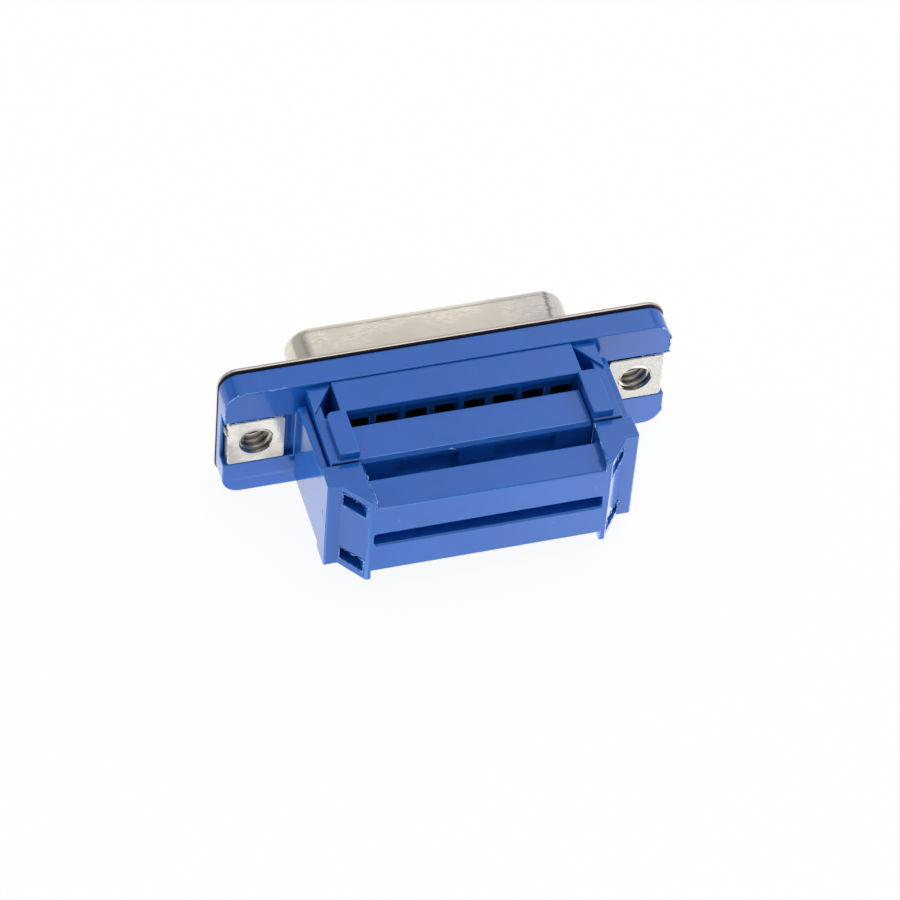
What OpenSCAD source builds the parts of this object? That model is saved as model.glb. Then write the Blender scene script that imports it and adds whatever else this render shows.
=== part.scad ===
// Fifteen-way D-shaped socket connector for flat ribbon cable.
// A drawn metal shell carries a moulded front insulator and base. Forked contacts stand
// out of the base, a cover presses the ribbon onto them, and a strain relief clips over both.
// The origin is the centre of the flange's front face. X runs along the connector, +Y points
// out of the mating nose and Z runs across the contact rows. Depths are measured from the
// flange's front face towards the cable, so a depth of 5 lies at Y = -5. All in millimetres.

/* [Fixing flange] */
// Distance between the centres of the two fixing holes
hole_spacing = 33.32; // [32:0.02:36]
// From a fixing hole to the end of the metal flange
flange_end = 2.91; // [2.8:0.01:4]
// Height of the metal flange
flange_h = 12.55; // [12.3:0.05:14]
// Corner radius of the metal flange
flange_r = 1.7; // [1.2:0.1:3]
// Thickness of the shell's sheet metal
sheet = 0.3; // [0.25:0.05:0.5]
// Diameter of the clearance holes for the fixing screws
screw_hole_d = 3.2; // [3:0.05:3.4]

/* [Mating nose] */
// From the last contact of the wide row to the end of the nose
nose_end = 2.635; // [2.5:0.005:3.2]
// From a contact row to the nearest long side of the nose
nose_side = 2.53; // [2.4:0.01:3]
// How far the nose stands out from the flange
nose_reach = 5.55; // [5:0.05:7]
// Corner radius of the nose
nose_r = 2.3; // [2:0.1:3]
// Lean of the two short sides in degrees
nose_slope = 10; // [6:1:12]
// Radius of the drawn rim at the open end
rim_r = 0.5; // [0.4:0.05:0.7]
// Width of the turned-in land that holds the front insulator
rim_land = 0.5; // [0.3:0.05:0.7]

/* [Contacts] */
// Spacing of the contacts along a row
contact_pitch = 2.77; // [2.7:0.01:2.9]
// Distance between the two contact rows
row_gap = 2.84; // [2.7:0.02:3.2]
// Outside diameter of a contact's socket
socket_d = 1.7; // [1.5:0.05:1.9]
// Diameter of the pin that a socket takes
pin_d = 1.02; // [0.9:0.02:1.2]
// Depth of the pin hole in a socket
pin_depth = 4.6; // [3:0.1:5]
// Thickness of a contact's spring sheet
contact_t = 0.3; // [0.2:0.05:0.4]
// Spacing of the ribbon's wires
wire_pitch = 1.27; // [1.24:0.01:1.36]
// Width of a contact's fork
fork_w = 1.7; // [1.5:0.05:1.8]
// Width of the slot that cuts into a wire
fork_slot = 0.35; // [0.25:0.05:0.45]
// Depth of the slot that cuts into a wire
fork_cut = 2.2; // [1.5:0.1:3]
// How far the forks stand out of the base
fork_reach = 0.5; // [0.3:0.05:0.7]
// Height of the inner fork of a contact above the middle plane
fork_low = 1.2; // [1.1:0.05:1.5]
// Height of the outer fork of a contact above the middle plane
fork_high = 2.9; // [2.6:0.05:3.4]

/* [Base] */
// Thickness of the moulded flange
base_flange_t = 2.5; // [2.2:0.1:3]
// How far the moulded flange stands back from the ends of the metal flange
base_end_inset = 0.08; // [0:0.02:0.3]
// How far the moulded flange stands back from the long sides of the metal flange
base_side_inset = 0.27; // [0.1:0.01:0.3]
// Depth of the step that keeps the moulded flange's edge clear of the metal
edge_step_t = 0.1; // [0.05:0.05:0.3]
// Width of that step
edge_step_w = 0.6; // [0.3:0.05:0.9]
// Depth of the contact block behind the moulded flange
block_depth = 3.4; // [3:0.1:4.5]
// Height of the contact block
block_h = 11.6; // [11:0.1:12]
// Wall between the last contact slot and the end of the block
block_wall = 0.34; // [0.2:0.02:0.8]
// Height of the top edge of the contact slots above the middle plane
slot_top = 4.25; // [4:0.05:4.5]
// Wall between two neighbouring contact slots
slot_wall = 0.64; // [0.5:0.02:0.8]
// Depth of the shallow panels round the contact slots
panel_depth = 0.25; // [0.1:0.05:0.4]
// Height of the top edge of the shallow panels above the middle plane
panel_top = 5.2; // [4.7:0.05:5.4]
// Rib left between two shallow panels
panel_rib = 0.45; // [0.3:0.05:0.7]
// Width of a latch post
post_w = 1.7; // [1.4:0.05:2]
// Height of the latch posts over both sides
post_h = 11.9; // [11.3:0.1:12.4]
// How far the back of a latch post stands back from its shoulder
post_setback = 0.2; // [0.1:0.05:0.4]
// Chamfer on the outer corners of a latch post
post_chamfer = 0.35; // [0.2:0.05:0.6]
// Width of the shoulder outside a latch post
shoulder_w = 0.8; // [0.6:0.05:1.2]
// Height of the shoulders over both sides
shoulder_h = 10.4; // [10:0.1:11]
// Height of the corner gussets over both sides
gusset_h = 11; // [10.6:0.1:11.4]
// Length of a gusset along the depth
gusset_depth = 2.85; // [2:0.05:3.2]
// Depth of the pit in front of a latch post
pit_depth = 3; // [1:0.1:4]

/* [Threaded inserts] */
// Side of the square insert
insert_size = 4.95; // [4.6:0.05:5.2]
// Thickness of the insert
insert_t = 1.9; // [1.6:0.1:2]
// Diameter over the thread of the insert
thread_d = 2.84; // [2.5:0.02:3.1]
// Chamfer at the mouth of the thread
thread_chamfer = 0.1; // [0.05:0.05:0.4]
// Clearance above an insert
insert_headroom = 0.2; // [0.05:0.05:0.4]
// Length of the shallow recess between an insert and the base's middle
insert_relief = 0.8; // [0.4:0.05:1]
// Depth of that recess
insert_relief_depth = 0.6; // [0.3:0.1:1.5]
// Height of the lip that closes the end of an insert's pocket
pocket_lip = 0.6; // [0.3:0.05:1]

/* [Cover] */
// Gap between the base and the cover as the connector is delivered
ribbon_gap = 0.9; // [0.8:0.05:1.2]
// Depth of the cover
cover_depth = 3.9; // [3.4:0.1:4.5]
// Height of the cover
cover_h = 9.4; // [8.6:0.1:10]
// How much the cover's ends stand back from the block's ends
cover_setback = 0.5; // [0.4:0.05:0.7]
// Radius of the grooves that hold the ribbon's wires
wire_groove_r = 0.45; // [0.35:0.05:0.55]
// Plain margin between the ends of the wire grooves and the cover's long edges
groove_margin = 0.9; // [0.5:0.1:1.3]
// Chamfer along the cover's back edges
cover_chamfer = 0.3; // [0.2:0.05:0.5]
// Length of each long pocket in the cover's back
pocket_len = 5.4; // [4:0.1:6]
// Width of the rib between the two long pockets
pocket_rib = 3; // [2:0.1:4]
// Wall between a long pocket and the cover's long edges
pocket_margin = 0.8; // [0.5:0.1:1.2]
// Depth of the long pockets
pocket_depth = 1; // [0.5:0.1:1.5]
// How far the guide tongues stand back from the cover's front
tongue_setback = 0.2; // [0:0.05:0.3]
// Length of the guide tongues along the depth
tongue_len = 2.3; // [1.5:0.1:2.4]
// Height of the guide tongues
tongue_h = 2.6; // [2:0.1:3.4]
// How far the guide tongues reach into the posts
tongue_reach = 0.5; // [0.3:0.05:0.7]

/* [Strain relief] */
// Gap between the cover and the bar where the ribbon leaves
exit_gap = 1.45; // [1.4:0.05:2]
// Depth of the bar
bar_depth = 3.27; // [2.6:0.01:4]
// Height of the bar
bar_h = 7.8; // [7:0.1:8.6]
// Height of the long slot through the bar
bar_slot_h = 1.32; // [0.8:0.02:2]
// Corner radius of the long slot
bar_slot_r = 0.3; // [0.1:0.05:0.35]
// Wall between the ends of the long slot and the heads
bar_slot_inset = 0.2; // [0.1:0.05:0.5]
// Height of the two heads
head_h = 9.9; // [9:0.1:10.4]
// Depth of a head's outer end
head_depth = 2.25; // [1.8:0.05:2.4]
// Width of the step at the back of a head's outer end
head_step = 1.2; // [0.8:0.05:1.5]
// How far the inner side of a head leans in from its front to its tip
head_lean = 0.2; // [0:0.05:0.4]
// Width of the head's tip beside the bar
head_tip = 0.5; // [0.3:0.05:0.8]
// Lowest height of the windows in the heads
window_low = 2.6; // [2.2:0.05:2.9]
// Highest height of the windows in the heads
window_high = 4.1; // [3.8:0.05:4.3]
// Thickness of the floor that closes the windows towards the base
window_floor = 0.5; // [0.3:0.05:0.8]
// Thickness of the side arms
arm_t = 0.75; // [0.6:0.05:1]
// Height of the side arms
arm_h = 8.6; // [7.6:0.1:9.2]
// Corner radius at the front of the side arms
arm_r = 0.6; // [0.3:0.1:1]
// Gap between the side arms and the moulded flange
arm_gap = 0.5; // [0.3:0.05:0.8]
// Height of the guide ribs inside the side arms
rib_h = 2; // [1.4:0.1:3]
// How far the guide ribs reach into the base
rib_reach = 0.5; // [0.3:0.05:0.6]

/* [Fits] */
// Clearance of pieces that slide on each other
slide_gap = 0.1; // [0.06:0.01:0.14]
// Clearance of pieces that are pushed in once
push_gap = 0.05; // [0.03:0.01:0.08]

/* [Hidden] */
$fn = 48;
// Length by which a cutting shape passes through a face
over = 0.01;

// Contact numbers: the wide row is on top
wide_row = 8;
narrow_row = wide_row - 1;
contact_count = wide_row + narrow_row;

// Flange and nose outlines
hole_x = hole_spacing / 2;
flange_w = hole_spacing + 2 * flange_end;
base_flange_w = flange_w - 2 * base_end_inset;
base_flange_h = flange_h - 2 * base_side_inset;
base_flange_r = flange_r - base_end_inset;
nose_w = (wide_row - 1) * contact_pitch + 2 * nose_end;
nose_h = row_gap + 2 * nose_side;
nose_high = nose_h / 2 - nose_r;
wide_x = nose_w / 2 - nose_r;
narrow_x = wide_x - 2 * nose_high * tan(nose_slope);

// Corners of the nose: centre, then the angles where its arc starts and ends
corner_steps = 8;
nose_corners = [
    [[wide_x, nose_high], 90, -nose_slope], [[narrow_x, -nose_high], -nose_slope, -90],
    [[-narrow_x, -nose_high], -90, nose_slope - 180], [[-wide_x, nose_high], nose_slope - 180, -270]
];

// Front insulator: its own thin flange sits in a recess of the base
insulator_flange_t = 1;
insulator_margin = 0.9;
nose_face_t = 1;
land_gap = 0.1;

// Depths
insulator_back = sheet + insulator_flange_t;
web_back = insulator_back + contact_t;
flange_back = sheet + base_flange_t;
block_back = flange_back + block_depth;
cover_front = block_back + ribbon_gap;
cover_back = cover_front + cover_depth;
tower_back = cover_back + slide_gap;
post_back = tower_back - post_setback;
head_front = tower_back;
head_outer_back = head_front + head_depth;
bar_front = cover_back + exit_gap;
bar_back = bar_front + bar_depth;
arm_front = flange_back + arm_gap;
arm_overlap = 0.5;

// Places along the length, from the middle
block_end = wide_row * wire_pitch + block_wall;
cover_end = block_end - cover_setback;
post_in = cover_end + slide_gap;
post_out = post_in + post_w;
tower_end = post_out + shoulder_w;
arm_in = tower_end + slide_gap;
head_end = arm_in + arm_t;
head_in = cover_end + slide_gap;
tip_in = head_in - head_lean;
slot_end = head_in - bar_slot_inset;

// Contact slots and forks
slot_w = 2 * wire_pitch - slot_wall;
fork_room = 0.25;
slot_bottom = fork_low - fork_room;
fork_back = block_back + fork_reach;
web_bottom = fork_low - contact_t / 2;
web_hold = 0.2;
web_top = slot_top + web_hold;

// Insert pockets
insert_front = flange_back - insert_t;
insert_half = insert_size / 2;

blue = [0.20, 0.38, 0.72];
plated_steel = [0.78, 0.76, 0.72];
bright_nickel = [0.86, 0.85, 0.82];
gold_plate = [0.85, 0.68, 0.32];

function is_wide(i) = i < wide_row;
function column(i) = is_wide(i) ? i - (wide_row - 1) / 2 : i - wide_row - (narrow_row - 1) / 2;
function row_side(i) = is_wide(i) ? 1 : -1;
function socket_x(i) = column(i) * contact_pitch;
function socket_z(i) = row_side(i) * row_gap / 2;
function fork_x(i) = column(i) * 2 * wire_pitch;
function contact_name(i) = str("contact_", i < 9 ? "0" : "", i + 1);

// Extrudes an (x, z) outline from one depth to a greater one
module along_depth(d0, d1) {
    translate([0, -d0, 0]) rotate([90, 0, 0]) linear_extrude(d1 - d0) children();
}

// Extrudes an (x, depth) outline between two heights
module upright(z0, z1) {
    translate([0, 0, z0]) linear_extrude(z1 - z0) mirror([0, 1]) children();
}

// Extrudes a (depth, z) outline between two places along the length
module along_length(x0, x1) {
    translate([x0, 0, 0]) rotate([90, 0, 90]) linear_extrude(x1 - x0) mirror([1, 0]) children();
}

module both_ends() {
    children();
    mirror([1, 0, 0]) children();
}

module both_sides() {
    children();
    mirror([0, 0, 1]) children();
}

module at_corners(w, h) {
    for (sx = [-1, 1], sy = [-1, 1]) translate([sx * w / 2, sy * h / 2]) children();
}

module span(x0, x1, y0, y1) {
    translate([x0, y0]) square([x1 - x0, y1 - y0]);
}

module rounded_rectangle(w, h, r) {
    square([w - 2 * r, h], center = true);
    square([w, h - 2 * r], center = true);
    at_corners(w - 2 * r, h - 2 * r) circle(r);
}

// D outline of the nose, drawn inwards by an inset; the wide side is on top
module d_outline(inset) {
    r = nose_r - inset;
    side = r * [cos(nose_slope), -sin(nose_slope)];
    right = [
        [wide_x, nose_high + r], [wide_x, nose_high] + side,
        [narrow_x, -nose_high] + side, [narrow_x, -nose_high - r]
    ];
    left = [for (k = [3 : -1 : 0]) [-right[k][0], right[k][1]]];
    polygon(concat(right, left));
    for (s = [-1, 1]) {
        translate([s * wide_x, nose_high]) circle(r);
        translate([s * narrow_x, -nose_high]) circle(r);
    }
}

// Ring of points round the nose at one height above the flange, drawn inwards by an inset
function nose_ring(height, inset) = [
    for (corner = nose_corners, k = [0 : corner_steps])
        let (a = corner[1] + (corner[2] - corner[1]) * k / corner_steps)
            [corner[0][0] + (nose_r - inset) * cos(a), height, corner[0][1] + (nose_r - inset) * sin(a)]
];

// Drawn nose: straight walls that end in a rounded rim, lofted through rings of points
module nose_outside() {
    rim = [for (a = [0 : 22.5 : 90]) [nose_reach - rim_r + rim_r * sin(a), rim_r * (1 - cos(a))]];
    levels = concat([[-sheet / 2, 0]], rim);
    rings = [for (level = levels) nose_ring(level[0], level[1])];
    n = len(rings[0]);
    walls = [
        for (j = [0 : len(levels) - 2], i = [0 : n - 1])
            let (next = (i + 1) % n) [j * n + i, (j + 1) * n + i, (j + 1) * n + next, j * n + next]
    ];
    last = (len(levels) - 1) * n;
    caps = [[for (i = [0 : n - 1]) i], [for (i = [n - 1 : -1 : 0]) last + i]];
    polyhedron([for (ring = rings) each ring], concat(walls, caps), convexity = 4);
}

module front_shell() {
    color(plated_steel) difference() {
        union() {
            along_depth(0, sheet) rounded_rectangle(flange_w, flange_h, flange_r);
            nose_outside();
        }
        along_depth(-nose_reach + sheet, sheet + over) d_outline(sheet);
        along_depth(-nose_reach - over, sheet) d_outline(sheet + rim_land);
        both_ends() along_depth(-over, sheet + over) translate([hole_x, 0]) circle(d = screw_hole_d);
    }
}

// Bore for one socket, with a narrower entry at the nose's face
module socket_bore(i) {
    pin_room = 0.15;
    translate([socket_x(i), 0, socket_z(i)]) {
        along_depth(nose_face_t - nose_reach, insulator_back + over) circle(d = socket_d + 2 * push_gap);
        along_depth(-nose_reach, 0) circle(d = pin_d + 2 * pin_room);
    }
}

module insulator_flange(gap) {
    rounded_rectangle(nose_w + 2 * (insulator_margin + gap), nose_h + 2 * (insulator_margin + gap), nose_r);
}

module front_insulator() {
    color(blue) difference() {
        union() {
            along_depth(sheet, insulator_back) insulator_flange(0);
            along_depth(sheet + push_gap - nose_reach, sheet) d_outline(sheet + push_gap);
            along_depth(land_gap - nose_reach, sheet) d_outline(sheet + rim_land + push_gap);
        }
        for (i = [0 : contact_count - 1]) socket_bore(i);
    }
}

// Slot for the two forks of one contact, right through the block
module fork_slot_cut(i) {
    x = fork_x(i);
    along_depth(web_back - over, block_back + over) scale([1, row_side(i)])
        span(x - slot_w / 2, x + slot_w / 2, slot_bottom, slot_top);
}

// Room for the flat web that joins a contact's socket and forks
module web_outline(i, gap) {
    neck_inset = 0.25;
    neck = socket_d / 2 - neck_inset;
    x0 = min(fork_x(i) - fork_w / 2, socket_x(i) - neck);
    x1 = max(fork_x(i) + fork_w / 2, socket_x(i) + neck);
    scale([1, row_side(i)]) span(x0 - gap, x1 + gap, web_bottom - gap, web_top + gap);
}

// Pocket for a square insert: open at the back, and at the end above a low lip
module insert_pocket() {
    half = insert_half + push_gap;
    top = insert_half + insert_headroom;
    screw_room = 0.15;
    inner = hole_x - insert_half - insert_relief;
    along_depth(insert_front, flange_back + over) span(hole_x - half, hole_x + half, -half, top);
    along_depth(insert_front + pocket_lip, flange_back + over) span(hole_x, flange_w, -half, top);
    along_depth(flange_back - insert_relief_depth, flange_back + over) span(inner, hole_x, -half, top);
    along_depth(sheet - over, flange_back) translate([hole_x, 0]) circle(d = screw_hole_d + 2 * screw_room);
}

// Step round the front of the moulded flange
module edge_step() {
    along_depth(sheet - over, sheet + edge_step_t) difference() {
        square([2 * flange_w, 2 * flange_h], center = true);
        rounded_rectangle(base_flange_w - 2 * edge_step_w, base_flange_h - 2 * edge_step_w,
            base_flange_r - edge_step_w / 2);
    }
}

// One end of the base behind the flange: shoulder, latch post and corner gusset
module end_tower() {
    root_depth = 1;
    root = block_end - root_depth;
    gusset_back = flange_back + gusset_depth;
    upright(-shoulder_h / 2, shoulder_h / 2) polygon([
        [root, flange_back - over], [tower_end, flange_back - over], [tower_end, tower_back],
        [post_in, tower_back], [post_in, block_back - over], [root, block_back - over]
    ]);
    upright(-gusset_h / 2, gusset_h / 2) polygon([
        [block_end - over, flange_back - over], [tower_end, flange_back - over], [tower_end, gusset_back]
    ]);
    c = post_chamfer;
    post_front = block_back - slide_gap;
    upright(-post_h / 2, post_h / 2) polygon([
        [post_in, post_front], [post_out - c, post_front], [post_out, post_front + c],
        [post_out, post_back], [post_in, post_back]
    ]);
}

// Pit between the block, the gusset and the latch post
module end_pit() {
    gusset_slope = gusset_depth / (tower_end - block_end);
    wall_depth = flange_back + gusset_slope * (post_out - block_end);
    upright(shoulder_h / 2 - pit_depth, flange_h / 2) polygon([
        [block_end, flange_back + over], [post_out, wall_depth + over],
        [post_out, block_back - slide_gap], [block_end, block_back - slide_gap]
    ]);
}

// Grooves for the cover's tongue and for the strain relief's rib, open towards the cable
module end_grooves() {
    reach = tongue_reach + slide_gap;
    tongue = tongue_h / 2 + slide_gap;
    rib = rib_h / 2 + slide_gap;
    along_depth(block_back + over, tower_back + over)
        span(post_in - over, cover_end + reach, -tongue, tongue);
    along_depth(arm_front - slide_gap, tower_back + over)
        span(tower_end - rib_reach, tower_end + over, -rib, rib);
}

// Shallow panels on the block's back, each round two contact slots
module back_panels() {
    panel_pitch = 4 * wire_pitch;
    panel_overlap = 1;
    pairs = wide_row / 2;
    for (k = [0 : pairs - 1]) {
        middle = (k - (pairs - 1) / 2) * panel_pitch;
        half = (panel_pitch - panel_rib) / 2;
        both_sides() along_depth(block_back - panel_depth, block_back + over)
            span(middle - half, middle + half, slot_top - panel_overlap, panel_top);
    }
}

module base_housing() {
    color(blue) difference() {
        union() {
            along_depth(sheet, flange_back)
                rounded_rectangle(base_flange_w, base_flange_h, base_flange_r);
            along_depth(flange_back - over, block_back) square([2 * block_end, block_h], center = true);
            both_ends() end_tower();
        }
        edge_step();
        along_depth(sheet - over, insulator_back) insulator_flange(push_gap);
        for (i = [0 : contact_count - 1]) {
            along_depth(insulator_back - over, web_back) web_outline(i, push_gap);
            fork_slot_cut(i);
        }
        back_panels();
        both_ends() {
            insert_pocket();
            both_sides() end_pit();
            end_grooves();
        }
    }
}

// Socket of one contact: a tube with two spring tines
module contact_socket(i) {
    front = nose_face_t + push_gap - nose_reach;
    tine_cut = 0.25;
    tine_share = 0.6;
    tine_len = tine_share * pin_depth;
    translate([socket_x(i), 0, socket_z(i)]) difference() {
        along_depth(front, insulator_back + over) circle(d = socket_d);
        along_depth(front - over, front + pin_depth) circle(d = pin_d);
        along_depth(front - over, front + tine_len) square([2 * socket_d, tine_cut], center = true);
    }
}

// One flat fork: its slot narrows from a pointed mouth
module fork_outline(i) {
    x = fork_x(i);
    lead = 0.3;
    tip = fork_w / 2 - lead;
    slot_end = fork_back - fork_cut;
    polygon([
        [x - fork_w / 2, insulator_back], [x + fork_w / 2, insulator_back],
        [x + fork_w / 2, fork_back - lead], [x + tip, fork_back],
        [x + fork_slot / 2, fork_back - lead], [x + fork_slot / 2, slot_end],
        [x - fork_slot / 2, slot_end], [x - fork_slot / 2, fork_back - lead],
        [x - tip, fork_back], [x - fork_w / 2, fork_back - lead]
    ]);
}

module contact(i) {
    color(gold_plate) {
        contact_socket(i);
        along_depth(insulator_back, web_back) web_outline(i, 0);
        for (height = [fork_low, fork_high]) {
            middle = row_side(i) * height;
            upright(middle - contact_t / 2, middle + contact_t / 2) fork_outline(i);
        }
    }
}

module threaded_insert() {
    corner_r = 0.3;
    c = thread_chamfer;
    color(bright_nickel) translate([hole_x, 0, 0]) difference() {
        along_depth(insert_front, flange_back) rounded_rectangle(insert_size, insert_size, corner_r);
        along_depth(insert_front - over, flange_back + over) circle(d = thread_d);
        translate([0, c - flange_back, 0]) rotate([90, 0, 0])
            cylinder(d1 = thread_d, d2 = thread_d + 2 * (c + over), h = c + over);
    }
}

module threaded_insert_right() {
    threaded_insert();
}

module threaded_insert_left() {
    mirror([1, 0, 0]) threaded_insert();
}

// Section of the cover across its length, with its back edges chamfered
module cover_section() {
    half = cover_h / 2;
    c = cover_chamfer;
    polygon([
        [cover_front, -half], [cover_back - c, -half], [cover_back, c - half],
        [cover_back, half - c], [cover_back - c, half], [cover_front, half]
    ]);
}

// Relief in the cover's front for the tips of one contact's forks
module fork_relief(i) {
    x = fork_x(i);
    half = fork_w / 2 + 2 * slide_gap;
    for (height = [fork_low, fork_high]) {
        z0 = height - contact_t / 2 - 2 * slide_gap;
        z1 = height + contact_t / 2 + 2 * slide_gap;
        along_depth(cover_front - over, cover_front + fork_reach + 2 * slide_gap)
            scale([1, row_side(i)]) span(x - half, x + half, z0, z1);
    }
}

module cover() {
    tongue_front = cover_front + tongue_setback;
    groove_h = cover_h - 2 * groove_margin;
    pocket_h = cover_h - 2 * pocket_margin;
    root_depth = 1;
    color(blue) difference() {
        union() {
            along_length(-cover_end, cover_end) cover_section();
            both_ends() along_depth(tongue_front, tongue_front + tongue_len)
                span(cover_end - root_depth, cover_end + tongue_reach, -tongue_h / 2, tongue_h / 2);
        }
        for (k = [1 - contact_count : 2 : contact_count - 1])
            translate([k * wire_pitch / 2, -cover_front, 0])
                cylinder(r = wire_groove_r, h = groove_h, center = true);
        for (i = [0 : contact_count - 1]) fork_relief(i);
        both_ends() along_depth(cover_back - pocket_depth, cover_back + over)
            span(pocket_rib / 2, pocket_rib / 2 + pocket_len, -pocket_h / 2, pocket_h / 2);
    }
}

// Plan of one head: square outer end, stepped and sloped back to a narrow tip
module head_plan() {
    polygon([
        [head_in, head_front], [head_end, head_front], [head_end, head_outer_back],
        [head_end - head_step, head_outer_back], [tip_in + head_tip, bar_back], [tip_in, bar_back]
    ]);
}

// Windows that open the sloped face of a head
module head_windows() {
    tip_wall = 0.2;
    step_wall = 0.1;
    both_sides() along_depth(head_front + window_floor, bar_back + over)
        span(tip_in + head_tip + tip_wall, head_end - head_step - step_wall, window_low, window_high);
}

// Side arm with rounded front corners and a guide rib inside
module side_arm() {
    half = arm_h / 2;
    arm_root = head_front + arm_overlap;
    along_length(arm_in, head_end) {
        span(arm_front + arm_r, arm_root, -half, half);
        span(arm_front, arm_root, arm_r - half, half - arm_r);
        for (s = [-1, 1]) translate([arm_front + arm_r, s * (half - arm_r)]) circle(arm_r);
    }
    along_depth(arm_front + arm_r, arm_root)
        span(arm_in - rib_reach, arm_in + over, -rib_h / 2, rib_h / 2);
}

module strain_relief() {
    color(blue) difference() {
        union() {
            both_ends() {
                upright(-head_h / 2, head_h / 2) head_plan();
                side_arm();
            }
            along_depth(bar_front, bar_back) square([2 * head_in, bar_h], center = true);
        }
        along_depth(bar_front - over, bar_back + over)
            rounded_rectangle(2 * slot_end, bar_slot_h, bar_slot_r);
        both_ends() head_windows();
    }
}

front_shell();
front_insulator();
base_housing();
threaded_insert_left();
threaded_insert_right();
for (i = [0 : contact_count - 1])
    contact(i);
cover();
strain_relief();
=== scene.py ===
"""Looks of a fifteen-way socket connector for ribbon cable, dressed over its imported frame."""

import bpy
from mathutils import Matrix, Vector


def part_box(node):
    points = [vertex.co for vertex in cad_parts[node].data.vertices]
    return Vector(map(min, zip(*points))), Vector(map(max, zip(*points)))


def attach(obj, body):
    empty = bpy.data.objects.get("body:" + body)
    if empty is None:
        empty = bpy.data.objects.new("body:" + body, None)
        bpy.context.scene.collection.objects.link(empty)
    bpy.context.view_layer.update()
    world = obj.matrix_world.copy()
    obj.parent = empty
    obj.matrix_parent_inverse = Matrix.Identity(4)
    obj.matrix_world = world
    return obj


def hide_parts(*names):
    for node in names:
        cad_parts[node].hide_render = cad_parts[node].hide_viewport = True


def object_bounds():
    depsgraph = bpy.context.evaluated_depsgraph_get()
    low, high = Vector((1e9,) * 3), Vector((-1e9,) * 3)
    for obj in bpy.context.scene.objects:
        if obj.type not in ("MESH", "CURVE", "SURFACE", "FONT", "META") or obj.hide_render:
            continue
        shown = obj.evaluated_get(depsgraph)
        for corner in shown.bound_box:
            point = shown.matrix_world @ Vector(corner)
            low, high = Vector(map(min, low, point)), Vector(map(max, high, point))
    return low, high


bl_info = {
    "name": "Ribbon cable connector looks",
    "version": (1, 0, 0),
    "blender": (4, 5, 0),
    "location": "3D View > Sidebar > Connector",
    "description": "Dresses a D-shaped ribbon cable connector with its metals, mouldings and studio",
    "category": "Object",
}

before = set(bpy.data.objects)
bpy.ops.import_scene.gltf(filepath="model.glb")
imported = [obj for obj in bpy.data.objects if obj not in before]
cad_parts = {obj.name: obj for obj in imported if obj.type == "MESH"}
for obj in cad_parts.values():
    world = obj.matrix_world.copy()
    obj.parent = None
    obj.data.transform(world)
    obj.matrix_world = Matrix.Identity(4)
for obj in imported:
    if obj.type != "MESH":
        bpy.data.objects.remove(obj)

import math

import bmesh
import bpy
from bpy.props import FloatProperty, FloatVectorProperty, PointerProperty
from mathutils import Matrix, Vector
from mathutils.noise import fractal

CAD_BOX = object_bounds()
MM = 0.001

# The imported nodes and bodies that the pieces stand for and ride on
CONNECTOR = "connector"
COVER = "ribbon_cover"
CLIP = "cable_clip"
INSERTS = {"left": "threaded_insert_left", "right": "threaded_insert_right"}
CONTACTS = sorted(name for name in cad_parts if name.startswith("contact_"))
MOULDINGS = {
    "moulded_insulator": ("front_insulator", CONNECTOR),
    "moulded_base": ("base_housing", CONNECTOR),
    "moulded_cover": ("cover", COVER),
    "moulded_clip": ("strain_relief", CLIP),
}

# Corners closer than these are one corner, and faces that turn less than these are one face or no crease
SAME_POINT = 2e-6
SMALL_STEP = 1.5e-5
FLAT_ANGLE = math.radians(0.5)
CREASE_ANGLE = math.radians(28)

# Edges that meet at more than this run on straight; a face this square to an axis faces along it
STRAIGHT_ANGLE = math.radians(150)
SQUARE_ON = 0.999
LEVEL_FACE = 0.9999

# Room round hidden boxes, and between the insulator's edge and its sockets
HIDDEN_MARGIN = 2.2e-4
SOCKET_MARGIN = 1.3e-3

# Share of an edge that one rounding may take, with another at its far end and without
SHARED_ROOM = 0.45
WHOLE_ROOM = 0.9
EDGE_ATTRIBUTE = "edge"


def length(name, description, default):
    """A size, given in millimetres, that the sidebar shows as a length."""
    return FloatProperty(name=name, description=description, default=default * MM, min=0.0, precision=5,
                         subtype="DISTANCE", unit="LENGTH")


def angle(name, description, degrees):
    """An angle that the sidebar shows in degrees."""
    return FloatProperty(name=name, description=description, default=math.radians(degrees), subtype="ANGLE")


def amount(name, description, default, least=0.0):
    """A plain number."""
    return FloatProperty(name=name, description=description, default=default, min=least)


def colour(name, description, default):
    """A linear colour."""
    return FloatVectorProperty(name=name, description=description, default=default, min=0.0, max=1.0,
                               size=3, subtype="COLOR")


class ShellSettings(bpy.types.PropertyGroup):
    """Sizes and finish of the drawn steel shell."""

    corner_radius: length("Corner radius", "Radius of the flange's corners", 1.7)
    hole_diameter: length("Hole diameter", "Diameter of the screw holes in the flange", 3.2)
    hole_spacing: length("Hole spacing", "Distance between the two screw holes", 33.32)
    nose_length: length("Nose length", "Length of the nose along its wide side", 24.66)
    nose_height: length("Nose height", "Height of the nose", 7.9)
    nose_radius: length("Nose corner radius", "Radius of the nose's four corners", 2.3)
    nose_slope: angle("Nose slope", "Lean of the nose's two ends", 10)
    root_radius: length("Root radius", "Radius where the nose is drawn out of the flange", 0.35)
    rim_radius: length("Rim radius", "Rounding inside the front rim of the nose", 0.5)
    rim_depth: length("Rim depth", "How far back the rim's outer rounding reaches", 0.8)
    rim_turn: length("Rim turn", "How far the rim's outer rounding turns in", 0.45)
    rim_land: length("Rim land", "Width of the rim turned in over the insulator", 0.5)
    edge_rounding: length("Edge rounding", "Rounding of the sheared edges", 0.05)
    steel: colour("Steel", "Colour of the plated steel", (0.72, 0.655, 0.575))
    # Painted shade: this dark colour covers the back of the flange, in the crevice against the plastic
    flange_back_shade: colour("Grime", "Colour of the grime behind the flange", (0.16, 0.11, 0.12))


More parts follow.
